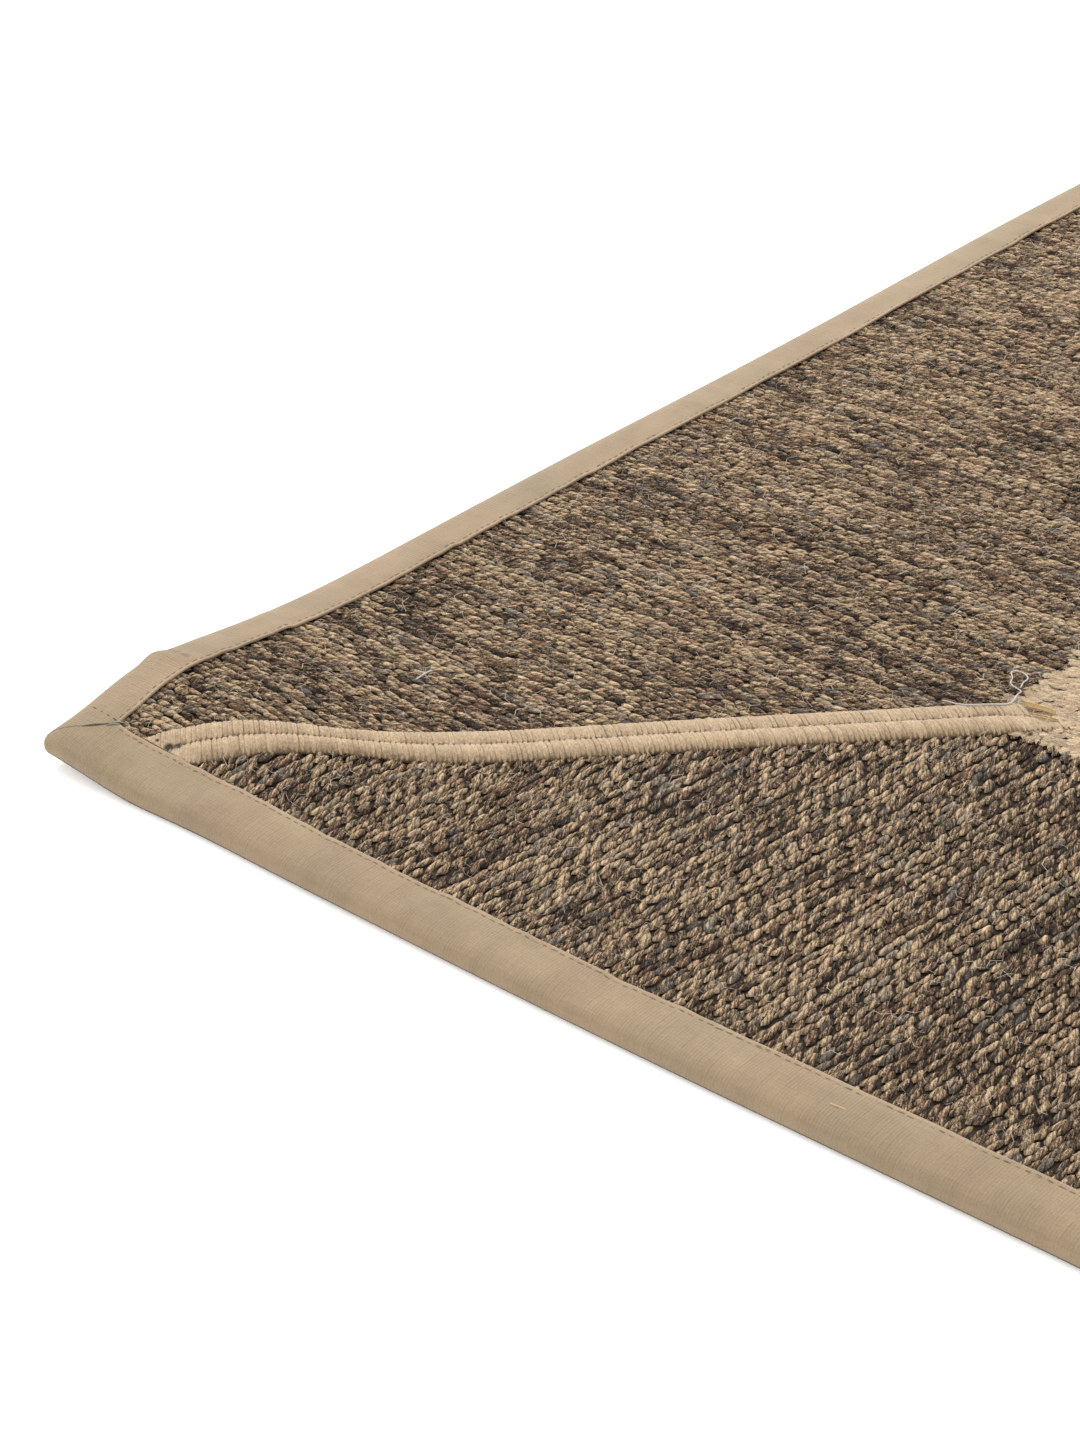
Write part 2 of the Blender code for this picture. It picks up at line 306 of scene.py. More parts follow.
def rounded_corner(a, b):
    """Draws points near the rug's four corners inwards, so that its corners are round."""
    u = np.minimum(a, WIDTH - a)
    v = np.minimum(b, LENGTH - b)
    x = 1 - u / RIM_CORNER_ROUND
    y = 1 - v / RIM_CORNER_ROUND
    round_off = (x > 0) & (y > 0)
    x = np.clip(x, 0.0, 1.0)
    y = np.clip(y, 0.0, 1.0)
    u = np.where(round_off, RIM_CORNER_ROUND * (1 - x * np.sqrt(1 - y * y / 2)), u)
    v = np.where(round_off, RIM_CORNER_ROUND * (1 - y * np.sqrt(1 - x * x / 2)), v)
    return np.where(a < WIDTH / 2, u, WIDTH - u), np.where(b < LENGTH / 2, v, LENGTH - v)


def lie(flat):
    """Where points of the flat rug come to lie: round corners, a wandering band, one corner drawn in and
    lifted off the floor, and low waves that leave the underside flat."""
    a, b = rounded_corner(flat[:, 0], flat[:, 1])
    z = flat[:, 2]
    from_corner = (a + b) / ROOT2
    beside_band = (a - b - MITRE_OFFSET) / ROOT2
    wander = sum(shift * hill(from_corner - at, reach) for shift, at, reach in BAND_WANDERS)
    wander = wander * hill(beside_band, WANDER_REACH) / ROOT2
    drawn_in = CORNER_DRAWN_IN * (1 - smooth(b / DRAWN_IN_ALONG)) * (1 - smooth(a / DRAWN_IN_ACROSS))
    raised = sum(
        height * hill(a - at_a, reach_a) * hill(b - at_b, reach_b)
        for height, at_a, at_b, reach_a, reach_b in CORNER_LIFTS
    )
    raised = np.maximum(raised, 0.0)
    lift = raised * raised / (raised + SOFT_LANDING)
    wave = sum(
        height * np.sin(TURN * (a / along_a + b / along_b) + phase)
        for height, along_a, along_b, phase in SURFACE_WAVES
    )
    x = a + drawn_in + wander + EDGE_WAVE * np.sin(TURN * b / EDGE_WAVELENGTH)
    y = b - wander + EDGE_WAVE * np.sin(TURN * a / EDGE_WAVELENGTH)
    z = z + wave * np.clip(z / WEAVE_T, 0.0, 1.0) + lift
    return np.column_stack((x - WIDTH / 2, y - LENGTH / 2, z))


def edge_length(side):
    return LENGTH if side in ("left", "right") else WIDTH


def border(side):
    return SIDE_BORDER if side in ("left", "right") else END_BORDER


def mitre_shift(side):
    """How far along the edge the 45 degree cut starts at the outer edge."""
    return -MITRE_OFFSET if side in ("left", "right") else MITRE_OFFSET


def turned(side, across, along, z):
    """A side's own flat coordinates, as points of the flat rug."""
    places = {
        "left": (across, along),
        "right": (WIDTH - across, LENGTH - along),
        "near": (WIDTH - along, across),
        "far": (along, LENGTH - across),
        "field": (across, along),
    }
    return np.column_stack((*places[side], z))


# ---- nodes ----


def operator(operation, reflected=False):
    """A signal's method for one of Python's operators, which adds a Math node."""

    def method(self, other):
        values = (other, self) if reflected else (self, other)
        return self.tree.math(operation, *values)

    return method


class Signal:
    """A socket of a node tree that takes part in sums."""

    __add__ = operator("ADD")
    __radd__ = operator("ADD", True)
    __sub__ = operator("SUBTRACT")
    __rsub__ = operator("SUBTRACT", True)
    __mul__ = operator("MULTIPLY")
    __rmul__ = operator("MULTIPLY", True)
    __truediv__ = operator("DIVIDE")
    __rtruediv__ = operator("DIVIDE", True)
    __mod__ = operator("FLOORED_MODULO")
    __rmod__ = operator("FLOORED_MODULO", True)
    __gt__ = operator("GREATER_THAN")
    __lt__ = operator("LESS_THAN")

    def __init__(self, tree, socket):
        self.tree = tree
        self.socket = socket

    def math(self, operation, *others):
        return self.tree.math(operation, self, *others)

    def span(self, low, high, to_low=0.0, to_high=1.0):
        """Maps low..high to to_low..to_high, held at the ends."""
        values = {"Value": self, "From Min": low, "From Max": high, "To Min": to_low, "To Max": to_high}
        return self.tree.node("ShaderNodeMapRange", {"clamp": True}, values)


class Tree:
    """A node tree being built: node() makes any node, sets it, and links or sets its sockets."""

    def __init__(self, graph):
        self.graph = graph

    def node(self, kind, settings=None, values=None, output=0):
        made = self.graph.nodes.new(kind)
        for name, setting in (settings or {}).items():
            if name == "stops":
                self.set_stops(made.color_ramp, setting)
            else:
                setattr(made, name, setting)
        pairs = values.items() if isinstance(values, dict) else enumerate(values or ())
        for key, value in pairs:
            if isinstance(value, Signal):
                self.graph.links.new(value.socket, made.inputs[key])
            else:
                made.inputs[key].default_value = value
        return Signal(self, made.outputs[output])

    def set_stops(self, ramp, stops):
        while len(ramp.elements) > 1:
            ramp.elements.remove(ramp.elements[-1])
        for i, (at, colour) in enumerate(stops):
            stop = ramp.elements[0] if i == 0 else ramp.elements.new(at)
            stop.position = at
            stop.color = (*colour, 1.0)

    def math(self, operation, *values):
        return self.node("ShaderNodeMath", {"operation": operation}, values)

    def vector(self, x, y, z=0.0):
        return self.node("ShaderNodeCombineXYZ", None, [x, y, z])

    def parts(self, vector):
        """The three numbers of a vector."""
        first = self.node("ShaderNodeSeparateXYZ", None, [vector])
        return [Signal(self, out) for out in first.socket.node.outputs]

    def noise(self, place, scale=1.0, detail=2.0, roughness=0.5):
        """Cloudy noise at a place, which is a vector or its three numbers."""
        vector = self.vector(*place) if isinstance(place, tuple) else place
        values = {"Vector": vector, "Scale": scale, "Detail": detail, "Roughness": roughness}
        return self.node("ShaderNodeTexNoise", {"noise_dimensions": "3D"}, values)


class Finish(Tree):
    """A material being built around one Principled shader."""

    def __init__(self, name, roughness=0.9, sheen=0.0):
        self.material = bpy.data.materials.new(name)
        self.material.use_nodes = True
        super().__init__(self.material.node_tree)
        self.shader = self.graph.nodes["Principled BSDF"]
        self.fix({"Roughness": roughness, "Specular IOR Level": 0.25})
        self.fix({"Sheen Weight": sheen, "Sheen Roughness": 0.5})

    def fix(self, constants):
        for name, value in constants.items():
            self.shader.inputs[name].default_value = value

    def attribute(self, name, output="Fac"):
        return self.node("ShaderNodeAttribute", {"attribute_name": name}, None, output)

    def place(self):
        return self.node("ShaderNodeTexCoord", None, None, "Object")

    def mix(self, factor, first, second, blend="MIX"):
        settings = {"data_type": "RGBA", "blend_type": blend}
        return self.node("ShaderNodeMix", settings, {0: factor, 6: first, 7: second}, 2)

    def shade(self, colour, factor):
        """Multiplies a colour by a number."""
        grey = self.node("ShaderNodeCombineColor", None, [factor, factor, factor])
        return self.mix(1.0, colour, grey, "MULTIPLY")

    def ramp(self, factor, *stops):
        return self.node("ShaderNodeValToRGB", {"stops": stops}, [factor])

    def wear(self, colour, height=None, distance=0.0):
        """Ends the material with its colour and, for a height, the relief that bump gives it."""
        self.graph.links.new(colour.socket, self.shader.inputs["Base Color"])
        if height is not None:
            values = {"Height": height, "Distance": distance, "Strength": 0.9}
            bump = self.node("ShaderNodeBump", None, values)
            self.graph.links.new(bump.socket, self.shader.inputs["Normal"])
        return self.material


class Layout(Tree):
    """A geometry nodes tree being built, with named inputs, which lays out one shape many times."""

    def __init__(self, name, labels):
        group = bpy.data.node_groups.new(name, "GeometryNodeTree")
        super().__init__(group)
        kinds = {"Geometry": "NodeSocketGeometry", **{label: "NodeSocketFloat" for label in labels}}
        kinds.update({"Seed": "NodeSocketInt", "Shape": "NodeSocketObject", "Yarn": "NodeSocketMaterial"})
        self.identifiers = {}
        for label, kind in kinds.items():
            socket = group.interface.new_socket(label, in_out="INPUT", socket_type=kind)
            self.identifiers[label] = socket.identifier
        group.interface.new_socket("Geometry", in_out="OUTPUT", socket_type="NodeSocketGeometry")
        start = group.nodes.new("NodeGroupInput")
        self.given = {label: Signal(self, start.outputs[label]) for label in kinds}

    def random(self, low, high, seed, each=None):
        """A random number for each point, or for each value of another signal. The node has the sockets of
        every data type, so the number's own are given by their places."""
        values = {2: low, 3: high, 8: seed}
        if each is not None:
            values[7] = each
        return self.node("FunctionNodeRandomValue", {"data_type": "FLOAT"}, values, 1)

    def even(self, most, seed):
        """A random number, as often below nothing as above it."""
        return self.random(-most, most, seed)

    def keep(self, geometry, name, value):
        """Stores a number on each point."""
        settings = {"data_type": "FLOAT", "domain": "POINT"}
        values = {"Geometry": geometry, "Name": name, "Value": value}
        return self.node("GeometryNodeStoreNamedAttribute", settings, values)

    def shifted(self, geometry, label, vector):
        """Moves points to a Position or by an Offset."""
        return self.node("GeometryNodeSetPosition", None, {"Geometry": geometry, label: vector})

    def lay(self, points, turn, scale):
        """Ends the tree: the shape on every point, turned and scaled, realized, in the given yarn."""
        values = {"Object": self.given["Shape"]}
        shape = self.node("GeometryNodeObjectInfo", {"transform_space": "ORIGINAL"}, values, "Geometry")
        euler = self.node("FunctionNodeEulerToRotation", None, [turn])
        values = {"Points": points, "Instance": shape, "Rotation": euler, "Scale": scale}
        placed = self.node("GeometryNodeInstanceOnPoints", None, values)
        realized = self.node("GeometryNodeRealizeInstances", None, [placed])
        values = {"Geometry": realized, "Material": self.given["Yarn"]}
        finished = self.node("GeometryNodeSetMaterial", None, values)
        end = self.graph.nodes.new("NodeGroupOutput")
        self.graph.links.new(finished.socket, end.inputs[0])

    def run(self, name, values):
        """The tree's result for these input values, as a plain mesh."""
        carrier = bpy.data.objects.new(name + "_carrier", bpy.data.meshes.new(name + "_carrier"))
        bpy.context.scene.collection.objects.link(carrier)
        modifier = carrier.modifiers.new(name, "NODES")
        modifier.node_group = self.graph
        for label, value in values.items():
            modifier[self.identifiers[label]] = value
        bpy.context.view_layer.update()
        evaluated = carrier.evaluated_get(bpy.context.evaluated_depsgraph_get())
        mesh = bpy.data.meshes.new_from_object(evaluated)
        carrier.modifiers.remove(modifier)
        forget(carrier)
        mesh.name = name
        return mesh


# ---- meshes ----


def points_of(mesh):
    flat = np.empty(len(mesh.vertices) * 3, np.float32)
    mesh.vertices.foreach_get("co", flat)
    return flat.reshape(-1, 3).astype(float)


def set_points(mesh, points):
    mesh.vertices.foreach_set("co", points.astype(np.float32).ravel())
    mesh.update()


def note(mesh, name, vectors):
    """Stores a vector on each point of a mesh."""
    attribute = mesh.attributes.new(name, "FLOAT_VECTOR", "POINT")
    attribute.data.foreach_set("vector", np.asarray(vectors, np.float32).ravel())


def piece(name, mesh, finish=None):
    """A finished piece on the rug's body: its mesh is already in place."""
    made = bpy.data.objects.new(name, mesh)
    bpy.context.scene.collection.objects.link(made)
    if finish is not None:
        mesh.materials.append(finish)
    mesh.shade_smooth()
    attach(made, BODY)
    return made


def cell_layer(cells_i, cells_j):
    """A closed layer of cells: its mesh and, for each point, its two stations and whether it is on the
    upper face."""
    shape = bmesh.new()
    bmesh.ops.create_grid(shape, x_segments=cells_i, y_segments=cells_j, size=0.5)
    lifted = bmesh.ops.extrude_face_region(shape, geom=shape.faces[:], use_keep_orig=True)
    for part in lifted["geom"]:
        if isinstance(part, bmesh.types.BMVert):
            part.co.z = 1.0
    bmesh.ops.recalc_face_normals(shape, faces=shape.faces)
    mesh = bpy.data.meshes.new("layer")
    shape.to_mesh(mesh)
    shape.free()
    co = points_of(mesh)
    i = np.rint((co[:, 0] + 0.5) * cells_i).astype(int)
    j = np.rint((co[:, 1] + 0.5) * cells_j).astype(int)
    return mesh, i, j, co[:, 2] > 0.5


def outward(mesh):
    """Turns a closed mesh's faces outwards, whichever way its points were laid."""
    shape = bmesh.new()
    shape.from_mesh(mesh)
    bmesh.ops.recalc_face_normals(shape, faces=shape.faces)
    if shape.calc_volume(signed=True) < 0:
        bmesh.ops.reverse_faces(shape, faces=shape.faces)
    shape.to_mesh(mesh)
    shape.free()
    mesh.update()
    return mesh


def spaced(start, end, step):
    return np.linspace(start, end, max(1, math.ceil((end - start) / step)) + 1)


def strips(rows, wide):
    """The faces between rows of points, each of which has so many points."""
    corners = [k * wide + m for k in range(rows - 1) for m in range(wide - 1)]
    return [(at, at + wide, at + wide + 1, at + 1) for at in corners]


def motif(name, points, faces, fibre=None):
    """A small open shape that a geometry nodes tree repeats, and that is never shown itself. Each point may
    hold its place in the fibre: along it, aside and up."""
    mesh = bpy.data.meshes.new(name)
    mesh.from_pydata(points, [], faces)
    if fibre is not None:
        note(mesh, "fibre", fibre)
    mesh.shade_smooth()
    return bpy.data.objects.new(name, mesh)


def forget(made):
    mesh = made.data
    bpy.data.objects.remove(made)
    bpy.data.meshes.remove(mesh)


# ---- the finishes ----


def wool(name, palette, marl, foot):
    """Woollen grains: a tone for each grain, uneven fibres, and painted shade in the grooves between their
    twisted plies and in the hollows at their feet.

    The palette runs from the darkest yarn to the lightest, marl is how much one grain's fibres differ, and
    foot is how light the painted shade leaves the hollows."""
    finish = Finish(name, 0.92)
    tone = finish.attribute("tone")
    hue = finish.attribute("hue")
    along, aside, height = finish.parts(finish.attribute("fibre", "Vector"))
    seed = hue * 37.0 + tone * 11.0
    strands = finish.noise((aside * 3.0 - along * 2.8, along * 0.9, seed), 1.0, 3.0, 0.75).span(0.33, 0.67)
    hairs = finish.noise(finish.place(), HAIRS, 2.0, 0.7).span(0.28, 0.72)
    mixed = tone + (strands - 0.5) * marl + (hairs - 0.5) * (marl * 0.6)
    warm = finish.mix((hue - 0.66).math("MAXIMUM", 0.0) * 1.3, finish.ramp(mixed, *palette), REDDISH)
    cool = finish.mix((0.27 - hue).math("MAXIMUM", 0.0) * 2.2, warm, GREYISH)
    # Painted shade: the grooves between the plies and each grain's low parts, towards its feet, are
    # darkened.
    twist = (aside * 1.9 - along * 2.5 + hue * 3.0).math("SINE").math("ABSOLUTE")
    groove = twist.span(0.0, 0.55, 0.15 + foot, 1.0)
    lit = height.span(0.08, 0.92, foot, 1.0) * (strands * 0.74 + 0.46 + hairs * 0.64) * groove
    return finish.wear(finish.shade(cool, lit), strands + hairs * 0.6 + groove * 1.2, 0.0009)


def ground_wool(name, colour):
    """The cloth under the grains, seen only in the gaps and from below, where it shows its own weave. In the
    gaps it is painted dark as their shade.
    """
    finish = Finish(name, 0.95)
    x, y, z = finish.parts(finish.place())
    rows = (y * (TURN / 0.0067)).math("SINE")
    grains = (x * (TURN / 0.0068)).math("SINE")
    weave = rows * grains * 0.5 + 0.5
    fibres = finish.noise(finish.place(), 900.0, 3.0, 0.6)
    patches = finish.noise((x * 60.0, y * 190.0, z), 1.0, 2.0, 0.6)
    # Painted shade: more than 3 mm above the floor the cloth is darkened to a quarter, as the shade in the
    # gaps between the grains; the lifted corner's underside, raised that high, is darkened too.
    under = (z < 0.003) * 0.75 + 0.25
    lit = (weave * 0.6 + fibres * 0.5 + patches * 0.6) * under
    return finish.wear(finish.shade(colour, lit), weave + fibres * 0.4, 0.0012)


def cotton(name, colour):
    """Fine plain-woven tape cloth: thin cross ribs, thicker and thinner threads, a little fading, painted
    shade on its soft folds, and painted shade at its cut ends, under its rim and in its crease."""
    finish = Finish(name, 0.86, 0.1)
    along, across, from_shade = finish.parts(finish.attribute("thread", "Vector"))
    place = finish.place()
    ribs = (along * (TURN / RIB_PITCH) + finish.noise(place, 240.0) * 5.0).math("SINE")
    thick = finish.noise((along * 60.0, across * 1300.0, 0.0), 1.0, 2.0, 0.6)
    thin = finish.noise((along * 1100.0, across * 60.0, 3.0), 1.0, 2.0, 0.6)
    soft = finish.noise((along * 30.0, across * 60.0, 7.0), 1.0, 3.0, 0.6)
    # Painted shade: soft lighter and darker streaks across the tape stand for the shade of its folds; they
    # also give the folds their bump.
    fold_shading = finish.noise((along * 95.0, across * 22.0, 5.0), 1.0, 1.0)
    speck = finish.noise(place, HAIRS, 2.0, 0.6)
    weave = ribs * 0.12 + thick * 0.7 + thin * 1.0
    lit = (weave - 0.85) * 0.20 + (soft - 0.5) * 0.52 + (fold_shading - 0.5) * 0.14 + (speck - 0.5) * 0.44 + 1.0
    # Painted shade at the cut ends, under the rim and in the crease.
    lit = lit * from_shade.span(0.0003, 0.0013, 0.34, 1.0)
    warm = (1.01 * colour[0], 0.98 * colour[1], 0.97 * colour[2], 1.0)
    grey = (0.95 * colour[0], 0.96 * colour[1], 0.94 * colour[2], 1.0)
    tint = finish.mix(finish.noise(place, 24.0, 2.0).span(0.36, 0.64), grey, warm)
    at_selvedge = across.span(TAPE_LAP - 0.0017, TAPE_LAP - 0.0008, 0.0, 0.6)
    faded = finish.mix(at_selvedge, tint, SELVEDGE)
    return finish.wear(finish.shade(faded, lit), weave + fold_shading * 1.5, 0.0004)


def stitching(name, colour, shadow):
    """Close cream yarn stitches: fine plies along each stitch with painted shade between them, painted shade
    in the hollows at its foot, dark specks in the valleys, and the near left band's holes as painted shade."""
    finish = Finish(name, 0.9, 0.15)
    tone = finish.attribute("tone")
    along, aside, height = finish.parts(finish.attribute("fibre", "Vector"))
    plies = finish.noise((along * 3.0 + aside * 0.6, aside * 1.4, tone * 29.0), 1.0, 3.0, 0.65)
    hairs = finish.noise(finish.place(), HAIRS, 2.0, 0.65)
    # Painted shade: a dark line down the middle of each stitch, between its two plies.
    ply_shade = aside.math("ABSOLUTE").span(0.0, 0.16, 0.84, 1.0)
    light = tone.span(0.0, 1.0, 0.90, 1.06) * (plies * 1.2 + 0.40) * (hairs * 1.0 + 0.50) * ply_shade
    # Painted shade: around each hole the stitches are darkened to a tenth.
    for a, b, reach in BAND_HOLES:
        centre = tuple(lie(np.array([[a, b, WEAVE_T + 0.0012]]))[0])
        away = finish.node("ShaderNodeVectorMath", {"operation": "DISTANCE"}, [finish.place(), centre], 1)
        light = light * away.span(reach * 0.6, reach * 1.1, 0.10, 1.0)
    # Dark specks towards the stitches' ends, in the valley between the two rows.
    valley = (along.math("ABSOLUTE") - 0.62).math("MAXIMUM", 0.0) * 0.9
    valley_specks = finish.noise(finish.place(), 420.0, 1.0).span(0.54, 0.66) * valley * 1.8
    # Painted shade: towards its foot each stitch turns to the shadow colour, in broken patches.
    broken = finish.noise(finish.place(), 600.0, 1.0).span(0.35, 0.65, 0.15, 1.0)
    foot = finish.mix(height.span(0.0, 0.80) + broken * 0.45, shadow, colour)
    return finish.wear(finish.shade(foot, light * (1.0 - valley_specks)), plies + hairs * 0.5, 0.0006)


def plain(name, colour, roughness=0.9, spread=0.2):
    """A thread or fibre of one colour, a little uneven."""
    finish = Finish(name, roughness)
    uneven = finish.noise(finish.place(), 700.0, 2.0, 0.6)
    return finish.wear(finish.shade(colour, uneven * (2 * spread) + (1 - spread)))


# ---- the settings ----


def length_setting(name, description, default):
    limits = {"min": default * 0.4, "max": default * 3.0, "precision": 5}
    words = {"name": name, "description": description}
    return bpy.props.FloatProperty(**words, **limits, default=default, subtype="DISTANCE", unit="LENGTH")


def colour_setting(name, description, default):
    words = {"name": name, "description": description}
    return bpy.props.FloatVectorProperty(**words, default=default, size=3, min=0.0, max=1.0, subtype="COLOR")


class RugWeave(bpy.types.PropertyGroup):
    """The woven wool."""

    grain_pitch: length_setting("Grain Pitch", "From grain to grain along a weft row", 0.0072)
    row_pitch: length_setting("Row Pitch", "From one weft row to the next", 0.00295)
    field_pitch: length_setting("Field Grain Pitch", "From grain to grain in the centre field", 0.0056)
    field_row: length_setting("Field Row Pitch", "From row to row in the centre field", 0.0028)
    grain_height: length_setting("Grain Height", "How high a grain stands over the ground", 0.0022)
    dark: colour_setting("Dark Yarn", "The darkest yarn of the marled panels", (0.030, 0.019, 0.014))
    middle: colour_setting("Middle Yarn", "The most common yarn of the panels", (0.224, 0.144, 0.084))
    light: colour_setting("Light Yarn", "The lightest yarn of the panels", (0.560, 0.402, 0.246))
    cream: colour_setting("Cream Yarn", "The yarn of the centre field", (0.530, 0.395, 0.255))


class RugTrim(bpy.types.PropertyGroup):
    """The tape, the sewing and the bands."""

    topstitch: length_setting("Topstitch", "From stitch to stitch of the tape's sewing", 0.0039)
    stitch_pitch: length_setting("Band Stitch", "From stitch to stitch of the bands", 0.0020)
    tape: colour_setting("Tape", "The cotton tape", (0.252, 0.189, 0.118))
    thread: colour_setting("Sewing Thread", "The thread of the topstitching", (0.175, 0.104, 0.062))
    yarn: colour_setting("Band Yarn", "The yarn of the raised bands", (0.405, 0.297, 0.186))
    golden: colour_setting("Golden Yarn", "A few odd stitches beside the field", (0.400, 0.280, 0.125))


class RugFibres(bpy.types.PropertyGroup):
    """The loose fibres."""

    density: bpy.props.FloatProperty(
        name="Fibres", description="Loose fibres to a square metre", default=13000.0, min=0.0, max=20000.0
    )
    colour: colour_setting("Fibre", "The loose fibres' colour", (0.470, 0.390, 0.300))


def settings():
    scene = bpy.context.scene
    return scene.rug_weave, scene.rug_trim, scene.rug_fibres


# ---- the cloths ----


def cloth_mesh(side):
    """The thin ground sheet of one panel, cut at 45 degrees at both ends, or of the field."""
    if side == "field":
        inner = JOINT_GAP / 2
        lines = spaced(SIDE_BORDER + inner, WIDTH - SIDE_BORDER - inner, CLOTH_CELL)
        first = np.full(len(lines), END_BORDER + inner)
        last = LENGTH - first
    else:
        lines = spaced(TAPE_LAP + CLEAR, border(side) - JOINT_GAP / 2, CLOTH_CELL)
        lines = np.append(WEAVE_INSET, lines)
        first = np.maximum(lines + mitre_shift(side) + MITRE_ROOM, WEAVE_INSET)
        last = edge_length(side) - first
    cells = math.ceil((last - first).max() / CLOTH_CELL)
    mesh, i, j, upper = cell_layer(len(lines) - 1, cells)
    along = first[i] + j / cells * (last[i] - first[i])
    flat = turned(side, lines[i], along, np.zeros(len(i)))
    edge = np.minimum.reduce([flat[:, 0], flat[:, 1], WIDTH - flat[:, 0], LENGTH - flat[:, 1]])
    underside = NIP * (1 - np.clip((edge - TAPE_LAP - CLEAR) / NIP_RUN, 0.0, 1.0))
    flat[:, 2] = np.where(upper, WEAVE_T - GROUND_DROP, underside)
    set_points(mesh, lie(flat))
    return outward(mesh)


# ---- the grains ----


def grain_motif(long, wide, high, plump):
    """One grain of yarn: pointed at both ends, open below, with a broad crown if it is plump."""
    broad = ((-0.5, 0.0), (-GRAIN_CROWN, 0.94), (GRAIN_CROWN, 1.0), (0.5, 0.0))
    section = broad if plump else ((-0.5, 0.0), (0.0, 1.0), (0.5, 0.0))
    count = len(section)
    tip = 0.5 * long
    points = [(-tip, 0.0, GRAIN_TIP * high)]
    fibre = [(-1.0, 0.0, TIP_LIGHT)]
    for x in (-GRAIN_SHOULDER * long, GRAIN_SHOULDER * long):
        for y, z in section:
            points.append((x, y * wide, z * high))
            fibre.append((x / tip, y * 2, z))
    points.append((tip, 0.0, GRAIN_TIP * high))
    fibre.append((1.0, 0.0, TIP_LIGHT))
    last = len(points) - 1
    faces = []
    for k in range(1, count):
        faces.append((0, k, k + 1))
        faces.append((k, k + count, k + count + 1, k + 1))
        faces.append((last, k + count + 1, k + count))
    return motif("grain", points, faces, fibre)


def weave_layout():
    """Rows of grains in brick order, cut at both mitres, with a tone and a hue stored for each grain."""
    area = ("Across Start", "Across End", "Along Start", "Along End", "Cut Start", "Margin")
    rest = ("Grain Pitch", "Row Pitch", "Skew", "Slant", "Straying", "Base Height", "Streak")
    tree = Layout("Woven Grains", area + rest)
    given = tree.given
    seed = given["Seed"]
    start, end, near, far, cut_start, margin = (given[label] for label in area)

    # A grid with a point for each grain.
    wide = end - start
    long = far - near + margin * 2
    columns = (wide / given["Grain Pitch"]).math("ROUND") + 1
    rows = (long / given["Row Pitch"]).math("ROUND") + 1
    values = {"Size X": wide, "Size Y": long, "Vertices X": columns, "Vertices Y": rows}
    grid = tree.node("GeometryNodeMeshGrid", None, values)

    # Every second row is shifted, and rows and grains stray from their places.
    x, y, _ = tree.parts(tree.node("GeometryNodeInputPosition"))
    row = ((y + long / 2) / (long / (rows - 1))).math("ROUND")
    sway = tree.noise((x * 14.0, y * 9.0, seed * 0.37), 1.0, 1.0)
    drift = tree.noise((x * 12.0, row * 0.61, seed * 0.71), 1.0, 1.0)
    straying = tree.random(-0.5, 0.5, seed + 11, row) * given["Straying"]
    brick = (row % 2.0 - 0.5) * BRICK_SHIFT + straying
    across = x + wide / 2 + start + brick * given["Grain Pitch"]
    across = across + tree.even(GRAIN_STRAYS[0], seed) + (drift - 0.5) * ROW_DRIFT
    along = y + long / 2 + near - margin + (sway - 0.5) * ROW_SWAY
    along = along + given["Skew"] * (x + wide / 2) + tree.even(GRAIN_STRAYS[1], seed + 1)
    height = given["Base Height"] + tree.random(*GRAIN_HEIGHTS, seed + 2)
    moved = tree.shifted(grid, "Position", tree.vector(across, along, height))

    # What lies past the mitres or the area's edges is cut away.
    u, v, _ = tree.parts(tree.node("GeometryNodeInputPosition"))
    cut_line = u + cut_start
    inside = (v > cut_line) * (far + near - v > cut_line) * (u > start) * (u < end)
    inside = inside * (v > near) * (v < far)
    values = {"Geometry": moved, "Selection": 1.0 - inside}
    cut = tree.node("GeometryNodeDeleteGeometry", {"domain": "POINT"}, values)

    # The yarn's tone and hue drift in long and short streaks along the rows.
    v = v - given["Skew"] * u
    long_streak = tree.noise((u * 26.0, v * 240.0, seed * 0.53), 1.0, 0.0)
    short_streak = tree.noise((u * 75.0, v * 300.0, seed * 0.91), 1.0, 1.0)
    patch = tree.noise((u * 14.0, v * 40.0, seed * 0.29), 1.0, 1.0)
    single = tree.even(1.0, seed + 3)
    tone = (long_streak - 0.5) * 0.9 + (short_streak - 0.5) * 1.5 + (patch - 0.5) * 0.6 + single * 0.22
    tone = (tone * given["Streak"] + 0.52).span(0.0, 1.0)
    hue_drift = tree.noise((u * 50.0, v * 200.0, seed * 0.17 + 9.0), 1.0, 2.0, 0.6)
    hue = ((hue_drift - 0.5) * 1.2 + tree.even(0.36, seed + 4) + 0.5).span(0.0, 1.0)
    toned = tree.keep(tree.keep(cut, "tone", tone), "hue", hue)

    turn = given["Slant"] + tree.even(GRAIN_TURNS, seed + 5)
    lean = tree.vector(tree.even(GRAIN_TIPS, seed + 9), tree.even(GRAIN_LEANS, seed + 10), turn)
    lengths = tree.random(0.80, 1.14, seed + 6)
    widths = tree.random(0.84, 1.14, seed + 7)
    heights = tree.random(0.86, 1.14, seed + 8)
    tree.lay(toned, lean, tree.vector(lengths, widths, heights))
    return tree


def woven_area(side):
    """Where a cloth's grains start and end, across and along, and where its mitre starts at the edge."""
    if side == "field":
        across = SIDE_BORDER + FIELD_SHORT[0]
        along = END_BORDER + FIELD_SHORT[1]
        return across, WIDTH - across, along, LENGTH - along, -LENGTH
    along = TAPE_LAP - UNDER_TAPE[1]
    end = border(side) + SEAM_RUN_ON
    return TAPE_LAP - UNDER_TAPE[0], end, along, edge_length(side) - along, mitre_shift(side) + MITRE_RELIEF


# ---- the tape ----


